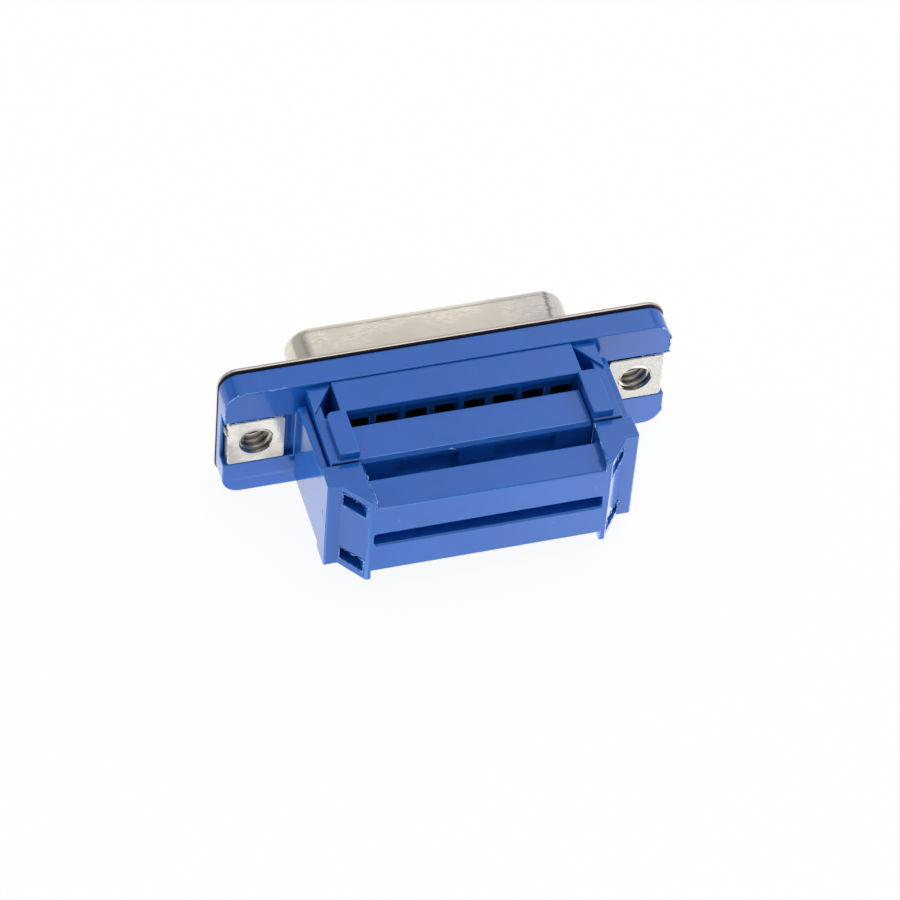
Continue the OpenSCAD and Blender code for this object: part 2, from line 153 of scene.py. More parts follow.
class MouldingSettings(bpy.types.PropertyGroup):
    """Edges and finish of the blue mouldings."""

    edge_rounding: length("Edge rounding", "Rounding of the base's and insulator's edges", 0.10)
    clip_rounding: length("Clip rounding", "Rounding of the clip's edges", 0.15)
    cover_rounding: length("Cover rounding", "Rounding of the cover's edges beside its grooves", 0.04)
    socket_lead: length("Socket lead-in", "Width of the lead-in at each socket's entry", 0.2)
    flash_step: length("Flash step", "Distance between bends of the torn flash", 0.13)
    flash_thickness: length("Flash thickness", "Half thickness of the torn flash", 0.065)
    flash_wander: length("Flash wander", "How far the torn flash strays from its edge", 0.05)
    seam_depth: length("Seam depth", "Depth of the seam between latch towers and clip heads", 11.1)
    wire_pitch: length("Wire pitch", "Distance between the ribbon's wires, and between slot columns", 1.27)
    screw_place: length("Screw place", "Distance of the screws from the middle", 16.66)
    post_side: length("Post side", "Distance of the latch posts' outer sides from the middle", 11.8)
    cover_reach: length("Cover reach", "Distance of the cover's ends from the middle", 10.0)
    relief_depth: length("Relief depth", "Depth of the grooves and reliefs in the cover's front", 1.0)
    blue: colour("Blue", "Colour of the plastic", (0.009, 0.101, 0.437))
    # Painted glow: this lighter blue is laid on the rounded edges of the mouldings as a painted highlight
    edge_glow_blue: colour("Edge blue", "Colour where light glows through thin edges", (0.035, 0.19, 0.60))
    worn: colour("Worn blue", "Colour where the plastic is rubbed or torn pale", (0.32, 0.53, 0.85))
    # Painted shade: this dark colour fills the seams by the latch towers and the scuff specks on the clip's
    # arm
    painted_shade_tone: colour("Grime", "Colour of the dirt in the seams", (0.008, 0.012, 0.03))
    grit: colour("Grit", "Colour of the speck stuck to the cover", (0.09, 0.05, 0.09))


class InsertSettings(bpy.types.PropertyGroup):
    """Thread and finish of the two square nuts."""

    edge_rounding: length("Edge rounding", "Rounding of the nut's edges", 0.07)
    thread_pitch: length("Thread pitch", "Distance from one turn of the thread to the next", 0.635)
    thread_depth: length("Thread depth", "How far the thread stands in from the bore", 0.3)
    bore_radius: length("Bore radius", "Radius of the bore at the roots of the thread", 1.42)
    burr_size: length("Burr size", "Height of the sheared burr on the left nut", 0.8)
    nickel: colour("Nickel", "Colour of the plated nut", (0.62, 0.605, 0.575))
    # Painted shade: this dark tone covers the thread below its crests
    thread_shade: colour("Oiled thread", "Colour of the oily thread roots", (0.56, 0.51, 0.44))


class ContactSettings(bpy.types.PropertyGroup):
    """Edges and finish of the formed contacts."""

    edge_rounding: length("Edge rounding", "Rounding of the contacts' edges", 0.02)
    gold: colour("Gold", "Colour of the plated contacts", (0.80, 0.56, 0.22))


class StageSettings(bpy.types.PropertyGroup):
    """Camera, floor and lamps."""

    camera_place: FloatVectorProperty(name="Camera place", description="Where the camera stands",
                                      default=(-0.10177, -0.29056, 0.33212), subtype="TRANSLATION",
                                      unit="LENGTH", precision=5)
    azimuth: angle("Azimuth", "Direction of view round the upright", -19.58)
    elevation: angle("Elevation", "Height of the camera above the level", 47.85)
    roll: angle("Roll", "Turn of the picture about the line of view", -5.26)
    lens: amount("Lens", "Focal length in millimetres on a 36 mm picture", 213.05, 1.0)
    floor_radius: length("Floor radius", "Radius of the round floor", 1500.0)
    floor_tone: colour("Floor", "Colour of the pale floor", (0.93, 0.93, 0.93))
    floor_bounce: amount("Floor bounce", "Soft light that the floor throws back up", 2.08)
    floor_shine: amount("Floor shine", "Brightness of the floor in reflections", 1.25)
    top_power: amount("Top power", "Power of the soft lamp overhead, in watts", 0.48)
    sky_low: amount("Sky low", "Light of the studio's walls at floor level", 0.12)
    sky_high: amount("Sky high", "Light of the studio's ceiling", 1.2)
    wall_light: amount("Wall light", "Light of the white sweep that rises behind the part", 0.95)


# Node helpers

def fill_socket(tree, socket, value):
    """Set a socket to a value, or link it to another socket or to a node's first output."""
    if isinstance(value, bpy.types.Node):
        value = value.outputs[0]
    if isinstance(value, bpy.types.NodeSocket):
        tree.links.new(value, socket)
    else:
        socket.default_value = value


def add_node(tree, kind, inputs=None, **settings):
    """Add a node, set its own settings, then fill its inputs with values or links."""
    node = tree.nodes.new(kind)
    for name, value in settings.items():
        setattr(node, name, value)
    for key, value in (inputs or {}).items():
        fill_socket(tree, node.inputs[key], value)
    return node


def calc(tree, operation, first, second=0.0, third=0.0, clamp=False):
    """The result of one Math node."""
    return add_node(tree, "ShaderNodeMath", {0: first, 1: second, 2: third}, operation=operation,
                    use_clamp=clamp).outputs[0]


def times(tree, first, second):
    """The product of two values."""
    return calc(tree, "MULTIPLY", first, second)


def added(tree, value, *parts):
    """A value with others added to it, each given with its weight."""
    for part, weight in parts:
        value = calc(tree, "MULTIPLY_ADD", part, weight, value)
    return value


def ramp(tree, value, start, end, low=0.0, high=1.0):
    """A smooth step of value from low at start to high at end."""
    return add_node(tree, "ShaderNodeMapRange",
                    {"Value": value, "From Min": start, "From Max": end, "To Min": low, "To Max": high},
                    interpolation_type="SMOOTHSTEP").outputs["Result"]


def blend_value(tree, share, first, second):
    """A mix of two values."""
    return add_node(tree, "ShaderNodeMapRange",
                    {"Value": share, "To Min": first, "To Max": second}).outputs["Result"]


def axes_of(tree, place):
    """The three parts of a place or direction."""
    return add_node(tree, "ShaderNodeSeparateXYZ", {"Vector": place}).outputs


def vector_calc(tree, operation, first, second):
    """The number that one Vector Math node gives."""
    return add_node(tree, "ShaderNodeVectorMath", {0: first, 1: second},
                    operation=operation).outputs["Value"]


def noise(tree, place, scale, detail=3.0, roughness=0.55, distortion=0.0):
    """The grey value of a noise texture."""
    return add_node(tree, "ShaderNodeTexNoise",
                    {"Vector": place, "Scale": scale, "Detail": detail, "Roughness": roughness,
                     "Distortion": distortion}).outputs["Fac"]


def stretched(tree, place, scale, turn=(0.0, 0.0, 0.0)):
    """The place turned and stretched, so that a noise on it makes streaks."""
    return add_node(tree, "ShaderNodeMapping",
                    {"Vector": place, "Rotation": turn, "Scale": scale}).outputs["Vector"]


def rgba(linear):
    """A colour socket's four numbers, or the socket that gives them."""
    return linear if isinstance(linear, bpy.types.NodeSocket) else (*linear, 1.0)


def blend_colour(tree, share, first, second):
    """A mix of two colours, each three numbers or a socket."""
    node = add_node(tree, "ShaderNodeMix", data_type="RGBA")
    values = {"Factor_Float": share, "A_Color": rgba(first), "B_Color": rgba(second)}
    for socket in node.inputs:
        if socket.identifier in values:
            fill_socket(tree, socket, values[socket.identifier])
    return next(socket for socket in node.outputs if socket.identifier == "Result_Color")


def shade(linear, factor):
    """A colour made darker or lighter, kept within its range."""
    return tuple(min(1.0, part * factor) for part in linear)


def clouded(tree, value, stretch, tone, dark, light):
    """A colour that goes from dark to light as a noise runs through a stretch."""
    return blend_colour(tree, ramp(tree, value, *stretch), shade(tone, dark), shade(tone, light))


def painted(tree, tone, *layers):
    """A colour with others laid over it, each by a mask, a share of that mask and a colour."""
    for mask, share, over in layers:
        tone = blend_colour(tree, times(tree, mask, share), tone, over)
    return tone


# Effects that several finishes share

# Scratches run two ways, each with its turn and stretch; more of them show as the threshold sinks
SCRATCH_RUNS = ((0.4, (0.03, 1.0, 1.0)), (-0.7, (1.0, 0.05, 0.6)))
SCRATCH_START = 0.80
SCRATCH_SINK = 0.2
SCRATCH_EDGE = 0.05

# Blotches and specks: their grain beside the scratches' grain, and where specks begin and end
BLOTCH_GRAIN = 0.12
SPECK_GRAIN = 1.6
SPECK_EDGE = (0.74, 0.80)

# Edge wear mixes a coarse and a fine noise; more of it shows as the threshold sinks
WEAR_COARSE = 0.15
WEAR_START = 0.72
WEAR_SINK = 0.4
WEAR_EDGE = 0.16


def new_group(name, inputs, outputs):
    """A shader node group with a place and floats as inputs and floats as outputs, and its two ends."""
    group = bpy.data.node_groups.new(name, "ShaderNodeTree")
    group.interface.new_socket("Place", in_out="INPUT", socket_type="NodeSocketVector")
    for title, way in [(title, "INPUT") for title in inputs] + [(title, "OUTPUT") for title in outputs]:
        group.interface.new_socket(title, in_out=way, socket_type="NodeSocketFloat")
    return group, group.nodes.new("NodeGroupInput").outputs, group.nodes.new("NodeGroupOutput").inputs


def threshold(group, start, share, sink, edge):
    """Both ends of a step that sinks from its start as a share grows."""
    first = calc(group, "SUBTRACT", start, times(group, share, sink))
    return first, calc(group, "ADD", first, edge)


def make_handling_marks(name):
    """Fine crossing scratches, soft blotches and small specks left by handling."""
    group, given, result = new_group(name, ("Grain", "Share"), ("Scratches", "Blotches", "Specks"))
    place = given["Place"]
    grain = given["Grain"]
    step = threshold(group, SCRATCH_START, given["Share"], SCRATCH_SINK, SCRATCH_EDGE)
    lines = []
    for turn, stretch in SCRATCH_RUNS:
        run = stretched(group, place, stretch, (turn, turn * 0.7, turn * 1.3))
        lines.append(ramp(group, noise(group, run, grain, 2.0, 0.4), *step))
    blotches = noise(group, place, times(group, grain, BLOTCH_GRAIN), 4.0)
    specks = ramp(group, noise(group, place, times(group, grain, SPECK_GRAIN), 1.0), *SPECK_EDGE)
    group.links.new(calc(group, "MAXIMUM", *lines), result["Scratches"])
    group.links.new(blotches, result["Blotches"])
    group.links.new(specks, result["Specks"])
    return group


def make_edge_wear(name):
    """Broken wear along the edges that the mesh marks."""
    group, given, result = new_group(name, ("Edge", "Grain", "Share"), ("Mask",))
    coarse = noise(group, given["Place"], times(group, given["Grain"], WEAR_COARSE), 2.0)
    fine = noise(group, given["Place"], given["Grain"], 4.0, 0.65)
    broken = times(group, calc(group, "ADD", coarse, fine), 0.5)
    step = threshold(group, WEAR_START, given["Share"], WEAR_SINK, WEAR_EDGE)
    mask = calc(group, "MULTIPLY", ramp(group, broken, *step), given["Edge"], clamp=True)
    group.links.new(mask, result["Mask"])
    return group


def effect(tree, name, maker, inputs):
    """The outputs of a shared effect placed in a finish; the first finish to ask has it built."""
    group = bpy.data.node_groups.get(name) or maker(name)
    return add_node(tree, "ShaderNodeGroup", inputs, node_tree=group).outputs


def edge_wear(tree, place, grain, share):
    """The edges that the mesh marks, and the share of them that is worn."""
    edge = add_node(tree, "ShaderNodeAttribute", attribute_name=EDGE_ATTRIBUTE).outputs["Fac"]
    given = {"Place": place, "Edge": edge, "Grain": grain, "Share": share}
    return edge, effect(tree, "Edge wear", make_edge_wear, given)["Mask"]


# Finishes

# A speck of grit: how far in from the cover's end and its back edge it sticks, and its two radii
GRIT_IN = 0.63 * MM
GRIT_BACK = 1.26 * MM
GRIT_EDGE = (0.16 * MM, 0.08 * MM)

# Painted shade in the seams: its raggedness, its reach along and off the towers, and its ends as shares of
# the cover's and the clip's half lengths
SEAM_RAGGED = -0.16 * MM
SEAM_TALL = (0.03 * MM, 0.0)
SEAM_DEEP = (0.02 * MM, 0.01 * MM)
SEAM_INNER = (0.97, 0.98)
SEAM_OUTER = (0.945, 0.93)

# A row of dark specks on the clip's arm, painted shade of small scuffs: its two ends as shares of the clip's
# depth and half height, and the specks' number, size, least and further share of that size, soft edge and
# sway
SCUFF_ENDS = ((0.776, 0.16), (0.846, -0.04))
SCUFF_SPECKS = 7
SCUFF_SIZE = 0.11 * MM
SCUFF_LEAST = 0.7
SCUFF_VARY = 0.9
SCUFF_SOFT = 1.35
SCUFF_SWAY = 0.16 * MM

# The nose's smudge: how far past the corner's start it lies, its lean, raggedness and two half widths
SMUDGE_PAST = 0.14 * MM
SMUDGE_LEAN = 0.08
SMUDGE_RAGGED = 0.7 * MM
SMUDGE_EDGE = (0.66 * MM, 0.36 * MM)

# The steel's colder cast towards the right, and the width of its sheared edges
STEEL_CAST = (0.78, 0.81, 0.87)
SHEARED = (0.15 * MM, 0.08 * MM)

# Height above the thread's crests where the painted highlight of bright metal ends and begins
CREST_EDGE = (0.10 * MM, 0.02 * MM)


def paint_plastic(tree, place, marks, settings):
    """Glossy blue plastic: faint flow lines, scuffs, painted glow on its edges, painted shade in seams and
    scuffs.
    """
    edge, wear = edge_wear(tree, place, 1500.0, 0.32)
    flow = noise(tree, stretched(tree, place, (0.12, 1.0, 1.0)), 2600.0)
    # Painted shade: a dark line where the tops of the clip's heads meet the latch towers, and dark scuff
    # specks
    shaded_seams = seam_shade_mask(tree, place, settings.seam_depth, flow)
    seam_and_scuff_shade = calc(tree, "MAXIMUM", shaded_seams, scuff_shade_mask(tree, place, flow))
    grit = ramp(tree, vector_calc(tree, "DISTANCE", place, grit_place(settings)), *GRIT_EDGE)
    tone = painted(tree, clouded(tree, marks["Blotches"], (0.3, 0.7), settings.blue, 0.95, 1.05),
                   (marks["Scratches"], 0.08, settings.worn),
                   # Painted highlight: the rounded edges are lightened as if light glowed through them
                   (edge, 0.6, settings.edge_glow_blue),
                   (wear, 0.5, settings.worn),
                   (seam_and_scuff_shade, 1.0, settings.painted_shade_tone),
                   (grit, 1.0, settings.grit))
    rough = added(tree, ramp(tree, flow, 0.3, 0.7, 0.09, 0.14),
                  (marks["Scratches"], 0.10), (wear, 0.2), (seam_and_scuff_shade, 0.5))
    return tone, rough, added(tree, flow, (marks["Scratches"], -0.3))


def grit_place(settings):
    """Where one reddish speck of grit sticks to the cover's top, near its left end."""
    low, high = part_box("cover")
    return Vector((GRIT_IN - settings.cover_reach, low.y + GRIT_BACK, high.z))


def seam_shade_mask(tree, place, depth, ragged):
    """A thin line of painted shade on the latch towers' rear faces, where the tops of the clip's heads meet
    them.
    """
    axes = axes_of(tree, place)
    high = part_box("strain_relief")[1]
    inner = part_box("cover")[1].x
    side = calc(tree, "ABSOLUTE", axes["X"])
    apart = calc(tree, "ABSOLUTE", calc(tree, "ADD", axes["Y"], depth))
    level = calc(tree, "SUBTRACT", calc(tree, "ABSOLUTE", axes["Z"]), high.z)
    level = added(tree, calc(tree, "ABSOLUTE", level), (ragged, SEAM_RAGGED))
    foot = times(tree, ramp(tree, apart, *SEAM_DEEP), ramp(tree, level, *SEAM_TALL))
    across = times(tree, ramp(tree, side, *(share * inner for share in SEAM_INNER)),
                   ramp(tree, side, *(share * high.x for share in SEAM_OUTER)))
    return times(tree, foot, across)


def scuff_shade_mask(tree, place, ragged):
    """A broken row of dark specks down the outer face of the clip's left arm, painted shade of small scuffs.
    """
    low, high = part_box("strain_relief")
    first, last = (Vector((low.x, back * low.y, up * high.z)) for back, up in SCUFF_ENDS)
    mask = 0.0
    for k in range(SCUFF_SPECKS):
        sway = Vector((0.0, SCUFF_SWAY * math.sin(7 * k), 0.0))
        centre = first.lerp(last, k / (SCUFF_SPECKS - 1)) + sway
        size = SCUFF_SIZE * (SCUFF_LEAST + SCUFF_VARY * abs(math.sin(3 * k + 1)))
        torn = added(tree, vector_calc(tree, "DISTANCE", place, centre), (ragged, size))
        mask = calc(tree, "MAXIMUM", mask, ramp(tree, torn, SCUFF_SOFT * size, size))
    return mask


def paint_flash(tree, place, marks, settings):
    """Thin torn plastic that looks pale where it is stretched."""
    pale = ramp(tree, marks["Blotches"], 0.35, 0.65)
    return blend_colour(tree, pale, settings.edge_glow_blue, settings.worn), 0.4, marks["Blotches"]


def paint_steel(tree, place, marks, settings):
    """Warm plated steel: mottled by drawing, smudged at a corner, dull on its cut edges, with painted shade
    behind.
    """
    draw = noise(tree, stretched(tree, place, (0.25, 1.0, 1.0)), 6500.0, 2.0, 0.5, 0.6)
    axes = axes_of(tree, place)
    low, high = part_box("front_shell")
    steel = settings.steel
    front = ramp(tree, axes["Y"], 0.25 * high.y, 0.65 * high.y)
    patchy = ramp(tree, noise(tree, place, 260.0, 1.0), 0.35, 0.65)
    streaks = times(tree, ramp(tree, draw, 0.40, 0.64), times(tree, front, patchy))
    right = ramp(tree, axes["X"], 0.2 * high.x, 0.5 * high.x)
    smudge = smudge_mask(tree, axes, draw, settings)
    sheared = ramp(tree, calc(tree, "ABSOLUTE", axes["Z"]), *(high.z - width for width in SHEARED))
    # Painted shade over the back face of the flange, where it meets the plastic
    behind = ramp(tree, axes["Y"], 0.88 * low.y, low.y)
    tone = painted(tree, clouded(tree, marks["Blotches"], (0.28, 0.72), steel, 0.92, 1.05),
                   (right, 1.0, [share * part for share, part in zip(STEEL_CAST, steel)]),
                   (streaks, 0.6, shade(steel, 1.2)),
                   (marks["Specks"], 0.3, shade(steel, 0.4)),
                   (smudge, 0.85, shade(steel, 0.3)),
                   (sheared, 1.0, shade(steel, 0.6)),
                   (behind, 1.0, settings.flange_back_shade))
    rough = added(tree, ramp(tree, marks["Blotches"], 0.25, 0.75, 0.24, 0.17),
                  (streaks, 0.08), (smudge, 0.15), (sheared, 0.2), (behind, 0.4))
    return tone, rough, added(tree, draw, (marks["Scratches"], -0.6))


def smudge_mask(tree, axes, ragged, settings):
    """A dark handling smudge that runs across the nose's top near its right-hand corner."""
    middle = settings.nose_length / 2 - settings.nose_radius + SMUDGE_PAST
    line = added(tree, middle, (axes["Y"], SMUDGE_LEAN))
    apart = calc(tree, "ABSOLUTE", calc(tree, "SUBTRACT", axes["X"], line))
    torn = added(tree, apart, (ragged, SMUDGE_RAGGED))
    top = ramp(tree, axes["Z"], 0.0, 0.4 * settings.nose_height)
    return times(tree, ramp(tree, torn, *SMUDGE_EDGE), top)


def paint_nickel(tree, place, marks, settings):
    """Warm nickel plate with bright worn edges, small pits and scratches, duller on the right-hand nut."""
    wear = edge_wear(tree, place, 2500.0, 0.8)[1]
    nickel = settings.nickel
    right = ramp(tree, axes_of(tree, place)["X"], -MM, MM)
    dull = clouded(tree, noise(tree, place, 7000.0, 2.0), (0.35, 0.65), nickel, 0.50, 0.60)
    tone = painted(tree, clouded(tree, marks["Blotches"], (0.35, 0.65), nickel, 0.62, 1.08),
                   (right, 1.0, dull),
                   (marks["Specks"], 0.5, shade(nickel, 0.35)),
                   (wear, 0.6, shade(nickel, 1.35)))
    rough = added(tree, ramp(tree, marks["Blotches"], 0.3, 0.7, 0.24, 0.14), (marks["Scratches"], 0.2))
    return tone, rough, added(tree, times(tree, marks["Scratches"], -0.5), (marks["Specks"], -1.0))


def paint_thread(tree, place, marks, settings):
    """Cut thread: painted shade makes the roots dark and a painted highlight makes the crests bright."""
    axes = axes_of(tree, place)
    low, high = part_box(INSERTS["right"])
    across = calc(tree, "SUBTRACT", calc(tree, "ABSOLUTE", axes["X"]), (low.x + high.x) / 2)
    radius = calc(tree, "POWER", added(tree, times(tree, axes["Z"], axes["Z"]), (across, across)), 0.5)
    crest = settings.bore_radius - settings.thread_depth
    # Painted highlight on the crests, over painted shade in the roots and flanks
    bright = ramp(tree, radius, *(crest + rise for rise in CREST_EDGE))
    tone = painted(tree, clouded(tree, marks["Blotches"], (0.3, 0.7), settings.thread_shade, 0.7, 1.5),
                   (bright, 1.0, shade(settings.nickel, 0.95)))
    return tone, ramp(tree, marks["Blotches"], 0.3, 0.7, 0.30, 0.42), times(tree, marks["Scratches"], -1.0)


def paint_gold(tree, place, marks, settings):
    """Gold flash over formed spring metal."""
    tone = clouded(tree, marks["Blotches"], (0.3, 0.7), settings.gold, 0.85, 1.1)
    rough = added(tree, ramp(tree, marks["Blotches"], 0.3, 0.7, 0.2, 0.3), (marks["Scratches"], 0.2))
    return tone, rough, times(tree, marks["Scratches"], -1.0)


# Each finish: the function that gives its colour, roughness and height, the settings that it follows, the
# constants on its shader, the grain and share of its handling marks, and the depth of its relief
PLASTIC = {"IOR": 1.5}
METAL = {"Metallic": 1.0}
FINISHES = {
    "glossy_blue_plastic": (paint_plastic, "connector_moulding", PLASTIC, 1400.0, 0.3, 0.0035 * MM),
    "torn_blue_flash": (paint_flash, "connector_moulding", PLASTIC, 6000.0, 0.6, 0.01 * MM),
    "mottled_plated_steel": (paint_steel, "connector_shell", METAL, 1900.0, 0.4, 0.0005 * MM),
    "bright_nickel": (paint_nickel, "connector_insert", METAL, 2600.0, 0.6, 0.006 * MM),
    "shaded_thread": (paint_thread, "connector_insert", METAL, 5000.0, 0.6, 0.004 * MM),
    "gold_flash": (paint_gold, "connector_contact", METAL, 4000.0, 0.5, 0.003 * MM),
}


def finish_named(name):
    """The finish of that name, made when it is first asked for."""
    if name in bpy.data.materials:
        return bpy.data.materials[name]
    paint, group, constants, grain, share, depth = FINISHES[name]
    material = bpy.data.materials.new(name)
    material.use_nodes = True
    tree = material.node_tree
    place = tree.nodes.new("ShaderNodeTexCoord").outputs["Object"]
    given = {"Place": place, "Grain": grain, "Share": share}
    marks = effect(tree, "Handling marks", make_handling_marks, given)
    tone, rough, height = paint(tree, place, marks, getattr(bpy.context.scene, group))
    bump = add_node(tree, "ShaderNodeBump", {"Height": height, "Distance": depth, "Strength": 1.0})
    values = {**constants, "Base Color": tone, "Roughness": rough, "Normal": bump}
    for title, value in values.items():
        fill_socket(tree, tree.nodes["Principled BSDF"].inputs[title], value)
    return material


# Mesh helpers

def in_scene(name, data):
    """An object with that data and name, linked to the scene."""
    data.name = name
    holder = bpy.data.objects.new(name, data)
    bpy.context.scene.collection.objects.link(holder)
    return holder


def new_piece(name, mesh, material, body, replaced=()):
    """A finished piece at the origin that rides on a body."""
    if not mesh.materials:
        mesh.materials.append(material)
    piece = in_scene(name, mesh)
    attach(piece, body)
    if replaced:
        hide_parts(*replaced)
    return piece


def node_shape(node):
    """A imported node's own shape, with its corners joined."""
    bm = bmesh.new()
    bm.from_mesh(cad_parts[node].data)
    bmesh.ops.remove_doubles(bm, verts=bm.verts, dist=SAME_POINT)
    return bm


def bevelled(bm, edges, width, segments):
    """Cut edges back by a width, and return the faces that this makes."""
    return bmesh.ops.bevel(bm, geom=edges, offset=width, offset_type="OFFSET", segments=segments,
                           profile=0.5, affect="EDGES", clamp_overlap=False, miter_outer="SHARP",
                           miter_inner="SHARP")["faces"]


def mark_creases(bm, rounded=frozenset()):
    """Smooth all faces and part them at creases and where a rounded edge meets a face."""
    for face in bm.faces:
        face.smooth = True
    for edge in bm.edges:
        if len(edge.link_faces) != 2:
            continue
        turn = edge.calc_face_angle(0.0)
        one, other = (face in rounded for face in edge.link_faces)
        edge.smooth = turn < CREASE_ANGLE and one == other or one and other


def is_outer_corner(edge):
    """Whether an edge is a convex corner."""
    return edge.is_manifold and edge.is_convex and edge.calc_face_angle(0.0) > CREASE_ANGLE


def has_room(edge, chosen, rounding):
    """Whether the edges that meet an edge's ends leave room to round it."""
    for vert in edge.verts:
        along = edge.other_vert(vert).co - vert.co
        for other in vert.link_edges:
            if other is edge:
                continue
            far = other.other_vert(vert)
            way = far.co - vert.co
            turn = along.angle(way)
            if turn > STRAIGHT_ANGLE:
                if other not in chosen and other.calc_face_angle(0.0) > CREASE_ANGLE:
                    return False
                continue
            shared = any(link in chosen for link in far.link_edges if link is not other)
            share = SHARED_ROOM if shared else WHOLE_ROOM
            if rounding > share * way.length * math.sin(turn):
                return False
    return True


def roomy_corners(bm, rounding, hidden):
    """The convex corners outside hidden boxes that can be rounded, once the shortest crowded ones go."""
    chosen = {edge for edge in bm.edges
              if is_outer_corner(edge) and not any(inside(edge, box) for box in hidden)}
    while True:
        crowded = {edge: edge.calc_length() for edge in chosen if not has_room(edge, chosen, rounding)}
        if not crowded:
            return list(chosen)
        limit = min(crowded.values()) + SMALL_STEP
        chosen -= {edge for edge, size in crowded.items() if size < limit}


def span(*ranges):
    """The box between the two ends of a range along each axis."""
    return Vector([min(ends) for ends in ranges]), Vector([max(ends) for ends in ranges])


def inside(edge, box):
    """Whether an edge lies in a box."""
    low, high = box
    return all(low[k] <= vert.co[k] <= high[k] for vert in edge.verts for k in range(3))


def insulator_recess():
    """The box round the front insulator, where edges stay hidden."""
    low, high = (Vector(corner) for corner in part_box("front_insulator"))
    margin = Vector.Fill(3, HIDDEN_MARGIN)
    return low - margin, high + margin


def cover_recesses(settings):
    """The boxes of the grooves in the cover's front and the pockets in its back, where edges stay sharp."""
    low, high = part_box("cover")
    reach = settings.cover_reach - SMALL_STEP
    tall = (low.z + HIDDEN_MARGIN, high.z - HIDDEN_MARGIN)
    return [span((-reach, reach), (high.y - settings.relief_depth, high.y + HIDDEN_MARGIN), tall),
            span((-reach, reach), (low.y - HIDDEN_MARGIN, low.y + settings.relief_depth), tall)]


def cut_flat_faces(bm, cuts):
    """Cut the flat faces through every opening, so that none has a hole, and keep those cuts as seams."""
    dissolve_flat(bm)
    for point, normal in cuts:
        faces = [face for face in bm.faces if max(abs(part) for part in face.normal) > SQUARE_ON]
        edges = {edge for face in faces for edge in face.edges}
        verts = {vert for face in faces for vert in face.verts}
        made = bmesh.ops.bisect_plane(bm, geom=[*verts, *edges, *faces], dist=SAME_POINT / 2,
                                      plane_co=point, plane_no=normal)
        for item in made["geom_cut"]:
            if isinstance(item, bmesh.types.BMEdge):
                item.seam = True
    bmesh.ops.remove_doubles(bm, verts=bm.verts, dist=SMALL_STEP)
    dissolve_flat(bm)


def dissolve_flat(bm):
    """Join the triangles of each flat face, up to the cuts."""
    bmesh.ops.dissolve_limit(bm, angle_limit=FLAT_ANGLE, verts=bm.verts, edges=bm.edges, delimit={"SEAM"})


def mesh_from(bm):
    """Turn a bmesh into a mesh and free it."""
    mesh = bpy.data.meshes.new("shape")
    bm.to_mesh(mesh)
    bm.free()
    return mesh


def open_sockets(bm, node, width):
    """Cut a lead-in round every opening within a plate's front face."""
    low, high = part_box(node)
    margin = Vector((SOCKET_MARGIN, -SMALL_STEP, SOCKET_MARGIN))
    area = (Vector((low.x, high.y, low.z)) + margin, high - margin)
    rims = [edge for edge in bm.edges if is_outer_corner(edge) and inside(edge, area)]
    bevelled(bm, rims, width, segments=1)


def softened_mesh(node, rounding, cuts=(), hidden=(), lead_in=0.0):
    """A node's shape with its outer corners rounded, and the rounded faces marked for wear."""
    bm = node_shape(node)
    layer = bm.faces.layers.float.new(EDGE_ATTRIBUTE)
    cut_flat_faces(bm, cuts)
    if lead_in:
        open_sockets(bm, node, lead_in)
    rounded = set(bevelled(bm, roomy_corners(bm, rounding, hidden), rounding, segments=2))
    mark_creases(bm, rounded)
    for face in rounded:
        face[layer] = 1.0
    return mesh_from(bm)


def arc(centre, radius, start, end, steps):
    """Points along an arc, ends included."""
    turns = (start + (end - start) * k / steps for k in range(steps + 1))
    return [(centre[0] + radius * math.cos(a), centre[1] + radius * math.sin(a)) for a in turns]


def ring(bm, outline, y):
    """A closed loop of corners across the nose's axis."""
    return [bm.verts.new((x, y, z)) for x, z in outline]


def bridge(bm, rings):
    """Bands of faces between each loop and the next, which has as many corners."""
    for first, second in zip(rings, rings[1:]):
        for corners in zip(first, first[1:] + first[:1], second[1:] + second[:1], second):
            bm.faces.new(corners)


def fill_between(bm, loops, normal):
    """Fill a flat face that has one outer loop and holes."""
    edges = [bm.edges.get(ends) for loop in loops for ends in zip(loop, loop[1:] + loop[:1])]
    bmesh.ops.triangle_fill(bm, use_beauty=True, use_dissolve=False, edges=edges, normal=normal)


# Drawn shell

CORNER_STEPS = 14
FILLET_STEPS = 7
HOLE_STEPS = 40


def nose_outline(settings, inset):
    """The nose's outline, set in by a distance, corner by corner."""
    quarter = math.pi / 2
    slope = settings.nose_slope
    high = settings.nose_height / 2 - settings.nose_radius
    wide = settings.nose_length / 2 - settings.nose_radius
    narrow = wide - 2 * high * math.tan(slope)
    corners = (((wide, high), quarter, -slope),
               ((narrow, -high), -slope, -quarter),
               ((-narrow, -high), -quarter, slope - math.pi),
               ((-wide, high), slope - math.pi, -3 * quarter))
    radius = settings.nose_radius - inset
    return [point for corner in corners for point in arc(corner[0], radius, *corner[1:], CORNER_STEPS)]


def flange_outline(half_length, half_height, radius, inset):
    """The flange's rounded rectangle, set in by a distance."""
    quarter = math.pi / 2
    points = []
    for k, (side, level) in enumerate(((1, 1), (1, -1), (-1, -1), (-1, 1))):
        centre = (side * (half_length - radius), level * (half_height - radius))
        start = quarter * (1 - k)
        points += arc(centre, radius - inset, start, start - quarter, CORNER_STEPS)
    return points


def rounded_levels(front, back, rounding):
    """Pairs of depth and set-in that round both edges of a sheared sheet."""
    share = 1 - math.sqrt(0.5)
    return [
        (front, rounding), (front - share * rounding, share * rounding), (front - rounding, 0.0),
        (back + rounding, 0.0), (back + share * rounding, share * rounding), (back, rounding),
    ]


